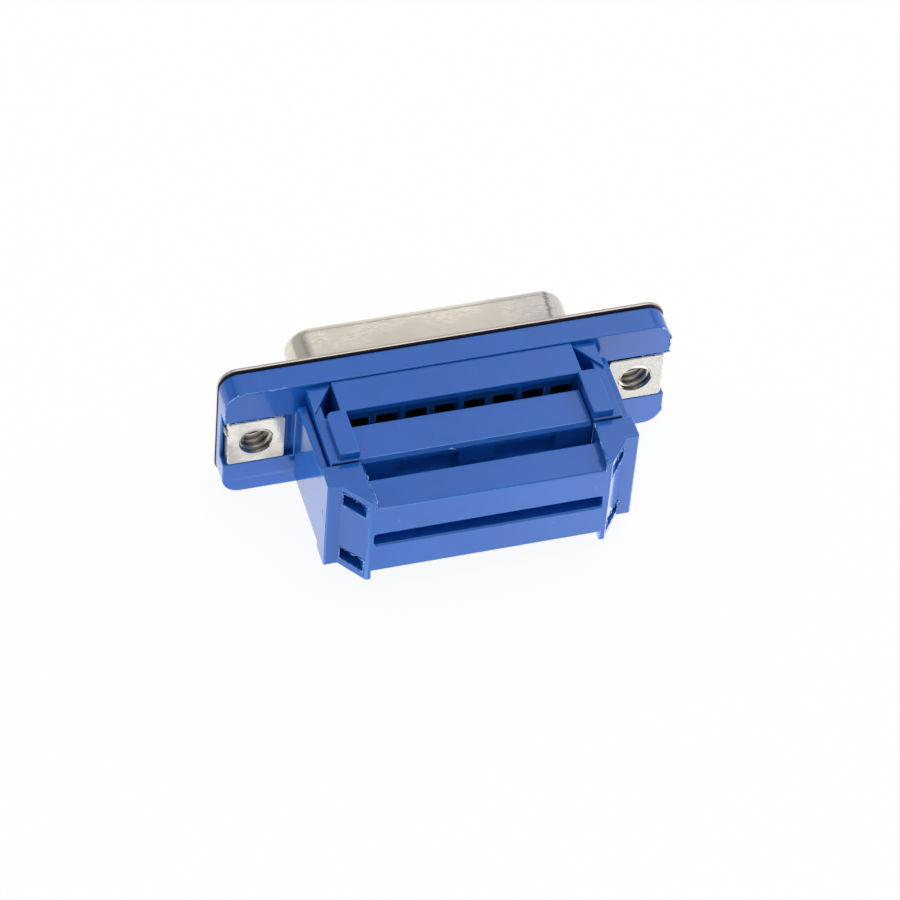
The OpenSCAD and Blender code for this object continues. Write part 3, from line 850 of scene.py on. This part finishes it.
def shell_mesh(settings):
    """The flange, the nose drawn out of it and its turned-in rim, as one closed sheet."""
    low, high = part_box("front_shell")
    sheet = -low.y
    reach = high.y
    root = settings.root_radius
    rim = settings.rim_radius
    lip = sheet + settings.rim_land
    edge = settings.edge_rounding
    bm = bmesh.new()

    turns = [math.pi / 2 * k / FILLET_STEPS for k in range(FILLET_STEPS + 1)]
    levels = [(root * (1 - math.cos(a)), root * (math.sin(a) - 1)) for a in turns]
    levels += [(reach - settings.rim_depth * (1 - math.sin(a)), settings.rim_turn * (1 - math.cos(a)))
               for a in turns]
    levels += [(reach, lip - edge), (reach - edge, lip), (reach - sheet, lip)]
    levels += [(reach - sheet, sheet + rim / 2), (reach - sheet - rim / 2, sheet), (root - sheet, sheet)]
    levels += [(root * (1 - math.sin(a)) - sheet, sheet - root * (1 - math.cos(a))) for a in turns[1:]]
    nose = [ring(bm, nose_outline(settings, inset), y) for y, inset in levels]
    bridge(bm, nose)

    rim_levels = rounded_levels(0.0, -sheet, edge)
    border = [ring(bm, flange_outline(high.x, high.z, settings.corner_radius, inset), y)
              for y, inset in rim_levels]
    bridge(bm, border)
    front_loops = [border[0], nose[0]]
    back_loops = [border[-1], nose[-1]]
    for side in (-1, 1):
        centre = (side * settings.hole_spacing / 2, 0.0)
        hole = []
        for y, inset in rim_levels:
            radius = settings.hole_diameter / 2 + inset
            hole.append(ring(bm, arc(centre, radius, 0.0, 2 * math.pi, HOLE_STEPS)[:-1], y))
        bridge(bm, hole)
        front_loops.append(hole[0])
        back_loops.append(hole[-1])
    fill_between(bm, front_loops, (0, 1, 0))
    fill_between(bm, back_loops, (0, -1, 0))
    bmesh.ops.remove_doubles(bm, verts=bm.verts, dist=SAME_POINT)
    bmesh.ops.recalc_face_normals(bm, faces=bm.faces)
    flat = {face for face in bm.faces if abs(face.normal.y) > LEVEL_FACE}
    mark_creases(bm, set(bm.faces) - flat)
    for line in bm.edges:
        if line.calc_face_angle(0.0) > CREASE_ANGLE:
            line.smooth = False
    return mesh_from(bm)


class CONNECTOR_OT_shell(bpy.types.Operator):
    """Make the drawn steel shell with its flange, nose and rim"""

    bl_idname = "connector.shell"
    bl_label = "Drawn shell"

    def execute(self, context):
        settings = context.scene.connector_shell
        new_piece("drawn_shell", shell_mesh(settings), finish_named("mottled_plated_steel"), CONNECTOR,
                  ["front_shell"])
        return {"FINISHED"}


def moulding_cuts(settings, node):
    """Planes through a moulding's openings, each as a point and a normal."""
    places = []
    if node in ("base_housing", "cover"):
        reach = len(CONTACTS) // 2
        places += [column * settings.wire_pitch for column in range(-reach, reach + 1)]
    if node == "base_housing":
        places += [side * place for side in (-1, 1) for place in (settings.screw_place, settings.post_side)]
    cuts = [(Vector((place, 0.0, 0.0)), Vector((1.0, 0.0, 0.0))) for place in places]
    return cuts + [(Vector(), Vector((0.0, 0.0, 1.0)))]


class CONNECTOR_OT_mouldings(bpy.types.Operator):
    """Make the blue mouldings: insulator, base, cover and clip"""

    bl_idname = "connector.mouldings"
    bl_label = "Blue mouldings"

    def execute(self, context):
        settings = context.scene.connector_moulding
        hidden = {"base_housing": [insulator_recess()], "cover": cover_recesses(settings)}
        roundings = {"cover": settings.cover_rounding, "strain_relief": settings.clip_rounding}
        for name, (node, body) in MOULDINGS.items():
            rounding = roundings.get(node, settings.edge_rounding)
            lead_in = settings.socket_lead if node == "front_insulator" else 0.0
            cuts = moulding_cuts(settings, node)
            mesh = softened_mesh(node, rounding, cuts, hidden.get(node, ()), lead_in)
            new_piece(name, mesh, finish_named("glossy_blue_plastic"), body, [node])
        return {"FINISHED"}


# Moulding flash

# Reach of the boxes round an edge that carries flash
FLASH_REACH = 0.15 * MM

# Where flash lies on the base's right end and on the clip, as shares of their half heights and half lengths
BASE_LOW = (-0.85, -0.7)
HEAD_EDGE = 0.78
HEAD_END = 0.93
WINDOWS = ((0.45, 0.9), (-0.9, -0.45))
WINDOW_DEPTH = 2.4 * MM
CLIP_NICK = (0.7, 0.85)
COVER_NICK = -2.2 * MM

# Torn flash: the sides of a strand, its breaks and thickness, and the flakes on it
STRAND_SIDES = 6
BREAK_GRAIN = 1300.0
BREAK_EDGE = (0.42, 0.58)
STRAND_RANGE = (0.3, 1.2)
STRAND_LEAST = 0.15
FLAKE_SIZE = 1.8
FLAKE_SHARE = 0.16
FLAKE_LEAST = (0.3, 0.3, 0.3)
FLAKE_MOST = (1.5, 1.1, 0.8)


def flash_places(settings):
    """For each moulding with flash, the boxes round the edges that carry it."""
    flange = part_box("base_housing")[1]
    nut_low, nut_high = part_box(INSERTS["right"])
    head_low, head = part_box("strain_relief")
    lid_low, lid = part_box("cover")
    thin = FLASH_REACH
    inner = settings.cover_reach
    back = (nut_low.y - thin, nut_low.y + thin)
    upper = nut_high.z + thin
    end = flange.x + thin
    base = [span((-end, -nut_low.x), back, (upper, flange.z + thin)),
            span((nut_high.x - 2 * MM, end), back, (upper, flange.z - thin)),
            span((nut_high.x - MM, end), back, [share * flange.z for share in BASE_LOW])]
    back = (head_low.y - thin, head_low.y + thin)
    clip = []
    for side in (-1, 1):
        rim = (side * (inner - thin), side * (inner + thin))
        clip.append(span(rim, (back[0], -settings.seam_depth - thin), (HEAD_EDGE * head.z, head.z + thin)))
        eye = (side * (inner + 2 * thin), side * HEAD_END * head.x)
        deep = (back[1], head_low.y + WINDOW_DEPTH)
        clip += [span(eye, deep, [share * head.z for share in window]) for window in WINDOWS]
    clip.append(span((-2 * thin, 2 * thin), back, [share * head.z for share in CLIP_NICK]))
    nick = Vector((COVER_NICK, lid_low.y, lid.z))
    cover = [(nick - Vector((2 * thin, thin, 3 * thin)), nick + Vector((2 * thin, 3 * thin, -thin)))]
    return {"base": ("base_housing", CONNECTOR, base), "clip": ("strain_relief", CLIP, clip),
            "cover": ("cover", COVER, cover)}


def clipped(start, end, box):
    """The part of a line inside a box, or nothing."""
    first, last = 0.0, 1.0
    for k in range(3):
        step = end[k] - start[k]
        if abs(step) < SAME_POINT:
            if not box[0][k] <= start[k] <= box[1][k]:
                return None
            continue
        near, far = sorted(((box[0][k] - start[k]) / step, (box[1][k] - start[k]) / step))
        first = max(first, near)
        last = min(last, far)
    return (start.lerp(end, first), start.lerp(end, last)) if first < last else None


def corner_lines(node, boxes):
    """A mesh of only the convex corners of a node that lie in the boxes."""
    bm = node_shape(node)
    dissolve_flat(bm)
    lines = bmesh.new()
    for edge in filter(is_outer_corner, bm.edges):
        for box in boxes:
            part = clipped(edge.verts[0].co, edge.verts[1].co, box)
            if part:
                lines.edges.new([lines.verts.new(point) for point in part])
    bm.free()
    bmesh.ops.remove_doubles(lines, verts=lines.verts, dist=SAME_POINT)
    return mesh_from(lines)


def random_node(tree, kind, inputs, seed):
    """A seeded random value of a kind, with its two limits or its probability as inputs."""
    node = add_node(tree, "FunctionNodeRandomValue", {**inputs, "Seed": seed}, data_type=kind)
    return next(socket for socket in node.outputs if socket.enabled)


def new_tree(name, inputs):
    """A geometry tree with named inputs and its one output, and the input sockets."""
    tree = bpy.data.node_groups.new(name, "GeometryNodeTree")
    for title, kind in inputs.items():
        tree.interface.new_socket(title, in_out="INPUT", socket_type="NodeSocket" + kind)
    tree.interface.new_socket("Geometry", in_out="OUTPUT", socket_type="NodeSocketGeometry")
    return tree, tree.nodes.new("NodeGroupInput").outputs


def end_tree(tree, geometry, finish):
    """Shade, realize and paint the grown geometry, and hand it out."""
    shaded = add_node(tree, "GeometryNodeSetShadeSmooth", {"Geometry": geometry, "Shade Smooth": True})
    real = add_node(tree, "GeometryNodeRealizeInstances", {"Geometry": shaded})
    done = add_node(tree, "GeometryNodeSetMaterial", {"Geometry": real, "Material": finish})
    add_node(tree, "NodeGroupOutput", {"Geometry": done})


def flash_tree():
    """A tree that lays broken strands and flakes of torn plastic along a mesh's edges."""
    tree, given = new_tree("Moulding flash", {
        "Geometry": "Geometry", "Step": "Float", "Thickness": "Float", "Wander": "Float", "Seed": "Int",
        "Finish": "Material"})
    seed = given["Seed"]
    lines = add_node(tree, "GeometryNodeMeshToCurve", {"Mesh": given["Geometry"]})
    fine = add_node(tree, "GeometryNodeResampleCurve",
                    {"Curve": lines, "Length": given["Step"]}, mode="LENGTH")
    out = add_node(tree, "ShaderNodeCombineXYZ", dict.fromkeys("XYZ", given["Wander"]))
    back = add_node(tree, "ShaderNodeVectorMath", {0: out, "Scale": -1.0}, operation="SCALE")
    shift = random_node(tree, "FLOAT_VECTOR", {0: back, 1: out}, seed)
    moved = add_node(tree, "GeometryNodeSetPosition", {"Geometry": fine, "Offset": shift})

    place = tree.nodes.new("GeometryNodeInputPosition")
    patch = ramp(tree, noise(tree, place, BREAK_GRAIN, 2.0), *BREAK_EDGE)
    thick = times(tree, patch, random_node(tree, "FLOAT", {2: STRAND_RANGE[0], 3: STRAND_RANGE[1]}, seed))
    profile = add_node(tree, "GeometryNodeCurvePrimitiveCircle",
                       {"Resolution": STRAND_SIDES, "Radius": given["Thickness"]})
    strand = add_node(tree, "GeometryNodeCurveToMesh",
                      {"Curve": moved, "Profile Curve": profile,
                       "Scale": calc(tree, "MAXIMUM", thick, STRAND_LEAST), "Fill Caps": True})

    flake = add_node(tree, "GeometryNodeMeshIcoSphere",
                     {"Radius": times(tree, given["Thickness"], FLAKE_SIZE), "Subdivisions": 1})
    flakes = add_node(tree, "GeometryNodeInstanceOnPoints", {
        "Points": moved, "Instance": flake,
        "Selection": random_node(tree, "BOOLEAN", {"Probability": FLAKE_SHARE}, seed),
        "Rotation": random_node(tree, "FLOAT_VECTOR", {0: (0.0,) * 3, 1: (math.tau,) * 3}, seed),
        "Scale": random_node(tree, "FLOAT_VECTOR", {0: FLAKE_LEAST, 1: FLAKE_MOST}, seed)})
    joined = tree.nodes.new("GeometryNodeJoinGeometry")
    fill_socket(tree, joined.inputs[0], strand)
    fill_socket(tree, joined.inputs[0], flakes)
    end_tree(tree, joined, given["Finish"])
    return tree


class CONNECTOR_OT_flash(bpy.types.Operator):
    """Lay the torn flash along the mouldings' edges"""

    bl_idname = "connector.flash"
    bl_label = "Moulding flash"

    def execute(self, context):
        settings = context.scene.connector_moulding
        tree = flash_tree()
        material = finish_named("torn_blue_flash")
        for seed, (title, (node, body, boxes)) in enumerate(flash_places(settings).items()):
            name = f"moulding_flash_{title}"
            values = {"Step": settings.flash_step, "Thickness": settings.flash_thickness,
                      "Wander": settings.flash_wander, "Seed": seed, "Finish": material}
            mesh = grown_mesh(name, tree, values, corner_lines(node, boxes))
            new_piece(name, mesh, material, body)
        return {"FINISHED"}


# Threaded inserts

# The cut thread: steps in a turn, run-out at both ends, thinnest scale, how far its root is sunk, and the
# half widths of root and crest as shares of the pitch
TURN_STEPS = 48
RUN_OUT = 0.08
THINNEST = 0.02
ROOT_SUNK = -0.12
ROOT_HALF = 0.46
CREST_HALF = 0.13

# The burr: its half sizes and place in parts of its size, and its raggedness
BURR_SHAPE = (0.24, 0.75, 0.26)
BURR_OUT = 0.02
BURR_UP = 0.45
BURR_DEEP = 0.78
BURR_RAGGED = 0.22
BURR_GRAIN = 1.7


def thread_tree():
    """A tree that winds a tapering ridge into a bore along the connector's depth."""
    tree, given = new_tree("Insert thread", {
        "Pitch": "Float", "Turns": "Float", "Bore radius": "Float", "Depth": "Float", "Place": "Vector",
        "Finish": "Material"})
    turns = given["Turns"]
    bore = given["Bore radius"]
    spiral = add_node(tree, "GeometryNodeCurveSpiral",
                      {"Resolution": TURN_STEPS, "Rotations": turns, "Start Radius": bore,
                       "End Radius": bore, "Height": times(tree, turns, given["Pitch"])})
    level = add_node(tree, "GeometryNodeSetCurveNormal", {"Curve": spiral}, mode="Z_UP")
    factor = tree.nodes.new("GeometryNodeSplineParameter").outputs["Factor"]
    ends = times(tree, ramp(tree, factor, 0.0, RUN_OUT), ramp(tree, factor, 1.0, 1.0 - RUN_OUT))
    taper = calc(tree, "MAXIMUM", ends, THINNEST)

    profile = add_node(tree, "GeometryNodeCurvePrimitiveQuadrilateral", mode="POINTS")
    tip = given["Depth"]
    sunk = times(tree, tip, ROOT_SUNK)
    corners = ((sunk, ROOT_HALF), (sunk, -ROOT_HALF), (tip, -CREST_HALF), (tip, CREST_HALF))
    for k, (inward, share) in enumerate(corners):
        along = times(tree, given["Pitch"], share)
        corner = add_node(tree, "ShaderNodeCombineXYZ", {"X": along, "Y": inward})
        fill_socket(tree, profile.inputs[f"Point {k + 1}"], corner)
    ridge = add_node(tree, "GeometryNodeCurveToMesh",
                     {"Curve": level, "Profile Curve": profile, "Scale": taper, "Fill Caps": True})
    turned = add_node(tree, "GeometryNodeTransform",
                      {"Geometry": ridge, "Rotation": (math.pi / 2, 0.0, 0.0),
                       "Translation": given["Place"]})
    end_tree(tree, turned, given["Finish"])
    return tree


def grown_mesh(name, tree, values, source=None):
    """The plain mesh that a geometry tree grows from a source mesh, with its inputs set by name."""
    holder = in_scene(name + "_grown", source or bpy.data.meshes.new(name + "_seed"))
    modifier = holder.modifiers.new("Grow", "NODES")
    modifier.node_group = tree
    for item in tree.interface.items_tree:
        if item.item_type == "SOCKET" and item.in_out == "INPUT" and item.name in values:
            modifier[item.identifier] = values[item.name]
    view = bpy.context.evaluated_depsgraph_get()
    mesh = bpy.data.meshes.new_from_object(holder.evaluated_get(view), preserve_all_data_layers=True,
                                           depsgraph=view)
    holder.modifiers.clear()
    seed = holder.data
    bpy.data.objects.remove(holder)
    bpy.data.meshes.remove(seed)
    if not mesh.polygons:
        raise RuntimeError(f"{name} grew no faces")
    return mesh


def burr_mesh(settings):
    """The ragged burr that shearing left on the outer end of the left nut."""
    low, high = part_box(INSERTS["left"])
    size = settings.burr_size
    bm = bmesh.new()
    bmesh.ops.create_icosphere(bm, subdivisions=4, radius=1.0)
    for vert in bm.verts:
        rough = 1.0 + BURR_RAGGED * fractal(vert.co * BURR_GRAIN, 0.6, 2.0, 3)
        vert.co = Vector(BURR_SHAPE) * size * rough * vert.co
    centre = Vector((low.x - BURR_OUT * size, low.y + BURR_DEEP * size, BURR_UP * high.z))
    bmesh.ops.translate(bm, verts=bm.verts, vec=centre)
    mark_creases(bm)
    return mesh_from(bm)


class CONNECTOR_OT_inserts(bpy.types.Operator):
    """Make the two square nuts and wind a thread into each bore"""

    bl_idname = "connector.inserts"
    bl_label = "Threaded inserts"

    def execute(self, context):
        settings = context.scene.connector_insert
        tree = thread_tree()
        nickel = finish_named("bright_nickel")
        thread_shade = finish_named("shaded_thread")
        for side, node in INSERTS.items():
            name = f"insert_{side}"
            low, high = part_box(node)
            thick = high.y - low.y
            place = Vector(((low.x + high.x) / 2, high.y, (low.z + high.z) / 2))
            reach = Vector((settings.bore_radius, thick, settings.bore_radius))
            reach += Vector.Fill(3, HIDDEN_MARGIN)
            mesh = softened_mesh(node, settings.edge_rounding, hidden=[(place - reach, place + reach)])
            new_piece(name, mesh, nickel, CONNECTOR, [node])
            values = {"Pitch": settings.thread_pitch, "Turns": thick / settings.thread_pitch,
                      "Bore radius": settings.bore_radius, "Depth": settings.thread_depth,
                      "Place": place, "Finish": thread_shade}
            thread = grown_mesh(f"insert_thread_{side}", tree, values)
            new_piece(f"insert_thread_{side}", thread, thread_shade, CONNECTOR)
        new_piece("insert_burr_left", burr_mesh(settings), nickel, CONNECTOR)
        return {"FINISHED"}


class CONNECTOR_OT_contacts(bpy.types.Operator):
    """Make the fifteen formed contacts"""

    bl_idname = "connector.contacts"
    bl_label = "Formed contacts"

    def execute(self, context):
        settings = context.scene.connector_contact
        material = finish_named("gold_flash")
        for node in CONTACTS:
            name = f"formed_{node}"
            mesh = softened_mesh(node, settings.edge_rounding, hidden=[insulator_recess()])
            new_piece(name, mesh, material, CONNECTOR, [node])
        return {"FINISHED"}


# Stage

# Share of plain white in the floor that the camera sees; the rest is lit and keeps the shadow
FLOOR_WHITE = 0.93

# The floor shines more towards the right and less behind the part, over these stretches
SHINE_STRETCH = (-0.015, 0.03)
SHINE_GAIN = 1.85
FAR_STRETCH = (0.004, 0.015)
FAR_SHINE = 1.02

# The floor's faint clouds
FLOOR_GRAIN = 40.0
FLOOR_CLOUD = 0.99
FLOOR_SIDES = 96

# Direction across the room as the camera sees it; the sky is dimmer on the left and brighter on the right
ROOM_ACROSS = (0.942, -0.335, 0.0)
LEFT_EDGE = (-0.31, -0.25)
LEFT_SHARE = 0.80
RIGHT_EDGE = (-0.015, 0.045)
RIGHT_GAIN = 0.65

# The sky is dimmer in front of the part
FRONT_EDGE = (-0.55, 0.10)
FRONT_SHARE = 0.42

# How the white sweep behind the part fades with height and to the left, and the dark gap above it
SWEEP_FADE = (0.56, 0.48)
SWEEP_SIDE = (-0.40, -0.25)
SWEEP_LEFT = 0.56
GAP_BELOW = (0.48, 0.56)
GAP_ABOVE = (0.68, 0.65)
GAP_DEPTH = 0.5

WHITE = (1.0, 1.0, 1.0, 1.0)
SKY_TINT = (0.985, 0.99, 1.0, 1.0)

# The soft lamp overhead, and the camera's picture width in millimetres and nearest sight
LAMP_PLACE = Vector((0.05, 0.12, 0.55))
LAMP_TARGET = Vector((0.0, -0.006, 0.0))
LAMP_SIZE = 0.40
PICTURE_WIDTH = 36.0
NEAREST = 0.01


def make_floor_finish(settings):
    """Pale floor that the camera sees as white with a faint shadow, and that throws soft light back up."""
    material = bpy.data.materials.new("pale_floor")
    material.use_nodes = True
    tree = material.node_tree
    tree.nodes.clear()
    path = tree.nodes.new("ShaderNodeLightPath").outputs
    place = tree.nodes.new("ShaderNodeTexCoord").outputs["Object"]
    axes = axes_of(tree, place)
    tone = blend_colour(tree, noise(tree, place, FLOOR_GRAIN), shade(settings.floor_tone, FLOOR_CLOUD),
                        settings.floor_tone)
    matt = add_node(tree, "ShaderNodeBsdfDiffuse", {"Color": tone})
    shine = ramp(tree, axes["X"], *SHINE_STRETCH, settings.floor_shine, settings.floor_shine * SHINE_GAIN)
    shine = blend_value(tree, ramp(tree, axes["Y"], *FAR_STRETCH), shine, FAR_SHINE)
    bright = blend_value(tree, path["Is Glossy Ray"], settings.floor_bounce, shine)
    bright = blend_value(tree, path["Is Camera Ray"], bright, 1.0)
    white = add_node(tree, "ShaderNodeEmission", {"Color": WHITE, "Strength": bright})
    share = blend_value(tree, path["Is Camera Ray"], 1.0, FLOOR_WHITE)
    mixed = add_node(tree, "ShaderNodeMixShader", {0: share, 1: matt, 2: white})
    add_node(tree, "ShaderNodeOutputMaterial", {"Surface": mixed})
    return material


def make_floor(settings):
    """A round floor under the lowest point of the part."""
    bm = bmesh.new()
    level = CAD_BOX[0][2]
    bmesh.ops.create_circle(bm, cap_ends=True, segments=FLOOR_SIDES, radius=settings.floor_radius,
                            matrix=Matrix.Translation((0.0, 0.0, level)))
    mesh = mesh_from(bm)
    mesh.materials.append(make_floor_finish(settings))
    floor = in_scene("floor", mesh)


def make_world(settings):
    """White studio for the camera; for all other rays a bright ceiling, a white sweep and dimmer walls."""
    world = bpy.data.worlds.new("studio")
    world.use_nodes = True
    tree = world.node_tree
    tree.nodes.clear()
    path = tree.nodes.new("ShaderNodeLightPath").outputs
    way = tree.nodes.new("ShaderNodeTexCoord").outputs["Generated"]
    axes = axes_of(tree, way)
    rise = axes["Z"]
    behind = axes["Y"]
    sky = ramp(tree, rise, 0.0, 1.0, settings.sky_low, settings.sky_high)
    across = vector_calc(tree, "DOT_PRODUCT", way, ROOM_ACROSS)
    share = calc(tree, "ADD", ramp(tree, across, *LEFT_EDGE, LEFT_SHARE, 1.0),
                 ramp(tree, across, *RIGHT_EDGE, 0.0, RIGHT_GAIN))
    share = times(tree, share, ramp(tree, behind, *FRONT_EDGE, FRONT_SHARE, 1.0))
    soft = times(tree, sky, share)
    sweep = times(tree, ramp(tree, rise, *SWEEP_FADE), ramp(tree, across, *SWEEP_SIDE, SWEEP_LEFT, 1.0))
    sweep = times(tree, sweep, ramp(tree, behind, *FRONT_EDGE, 0.0, settings.wall_light))
    gap = times(tree, ramp(tree, rise, *GAP_BELOW), ramp(tree, rise, *GAP_ABOVE))
    parted = times(tree, soft, added(tree, 1.0, (gap, -GAP_DEPTH)))
    light = blend_value(tree, path["Is Glossy Ray"], soft, calc(tree, "MAXIMUM", parted, sweep))
    glow = add_node(tree, "ShaderNodeBackground", {"Color": SKY_TINT, "Strength": light})
    white = add_node(tree, "ShaderNodeBackground", {"Color": WHITE, "Strength": 1.0})
    mixed = add_node(tree, "ShaderNodeMixShader", {0: path["Is Camera Ray"], 1: glow, 2: white})
    add_node(tree, "ShaderNodeOutputWorld", {"Surface": mixed})
    bpy.context.scene.world = world


def make_lamp(power):
    """The square soft lamp, aimed at the part."""
    lamp = bpy.data.lights.new("top_lamp", "AREA")
    lamp.shape = "SQUARE"
    lamp.size = LAMP_SIZE
    lamp.energy = power
    aim = (LAMP_TARGET - LAMP_PLACE).to_track_quat("-Z", "Y")
    in_scene("top_lamp", lamp).matrix_world = Matrix.Translation(LAMP_PLACE) @ aim.to_matrix().to_4x4()


def make_camera(settings):
    """A camera at the photograph's angle."""
    turn = Matrix.Rotation(settings.azimuth, 4, "Z")
    turn @= Matrix.Rotation(math.pi / 2 - settings.elevation, 4, "X")
    turn @= Matrix.Rotation(-settings.roll, 4, "Z")
    camera = bpy.data.cameras.new("camera")
    camera.sensor_width = PICTURE_WIDTH
    camera.lens = settings.lens
    camera.clip_start = NEAREST
    holder = in_scene("camera", camera)
    holder.matrix_world = Matrix.Translation(settings.camera_place) @ turn
    bpy.context.scene.camera = holder


class CONNECTOR_OT_stage(bpy.types.Operator):
    """Set out the pale floor, the soft light and the camera"""

    bl_idname = "connector.stage"
    bl_label = "Stage"

    def execute(self, context):
        settings = context.scene.connector_stage
        make_floor(settings)
        make_world(settings)
        make_lamp(settings.top_power)
        make_camera(settings)
        context.scene.view_settings.view_transform = "Standard"
        return {"FINISHED"}


OPERATORS = (CONNECTOR_OT_shell, CONNECTOR_OT_mouldings, CONNECTOR_OT_flash, CONNECTOR_OT_inserts,
             CONNECTOR_OT_contacts, CONNECTOR_OT_stage)
SETTINGS = {
    "connector_shell": ShellSettings,
    "connector_moulding": MouldingSettings,
    "connector_insert": InsertSettings,
    "connector_contact": ContactSettings,
    "connector_stage": StageSettings,
}


class CONNECTOR_PT_panel(bpy.types.Panel):
    """Sizes, colours and steps of the connector"""

    bl_idname = "CONNECTOR_PT_panel"
    bl_label = "Connector"
    bl_space_type = "VIEW_3D"
    bl_region_type = "UI"
    bl_category = "Connector"

    def draw(self, context):
        for operator in OPERATORS:
            self.layout.operator(operator.bl_idname)
        for name in SETTINGS:
            group = getattr(context.scene, name)
            box = self.layout.box()
            for field in group.__annotations__:
                box.prop(group, field)


def register():
    """Add the settings, operators and panel to Blender."""
    for name, group in SETTINGS.items():
        bpy.utils.register_class(group)
        setattr(bpy.types.Scene, name, PointerProperty(type=group))
    for operator in OPERATORS:
        bpy.utils.register_class(operator)
    bpy.utils.register_class(CONNECTOR_PT_panel)


def unregister():
    """Take the settings, operators and panel out again."""
    bpy.utils.unregister_class(CONNECTOR_PT_panel)
    for operator in reversed(OPERATORS):
        bpy.utils.unregister_class(operator)
    for name, group in SETTINGS.items():
        delattr(bpy.types.Scene, name)
        bpy.utils.unregister_class(group)


def main():
    """Make every piece and the stage."""
    register()
    bpy.ops.connector.shell()
    bpy.ops.connector.mouldings()
    bpy.ops.connector.flash()
    bpy.ops.connector.inserts()
    bpy.ops.connector.contacts()
    bpy.ops.connector.stage()


if __name__ == "__main__":
    main()
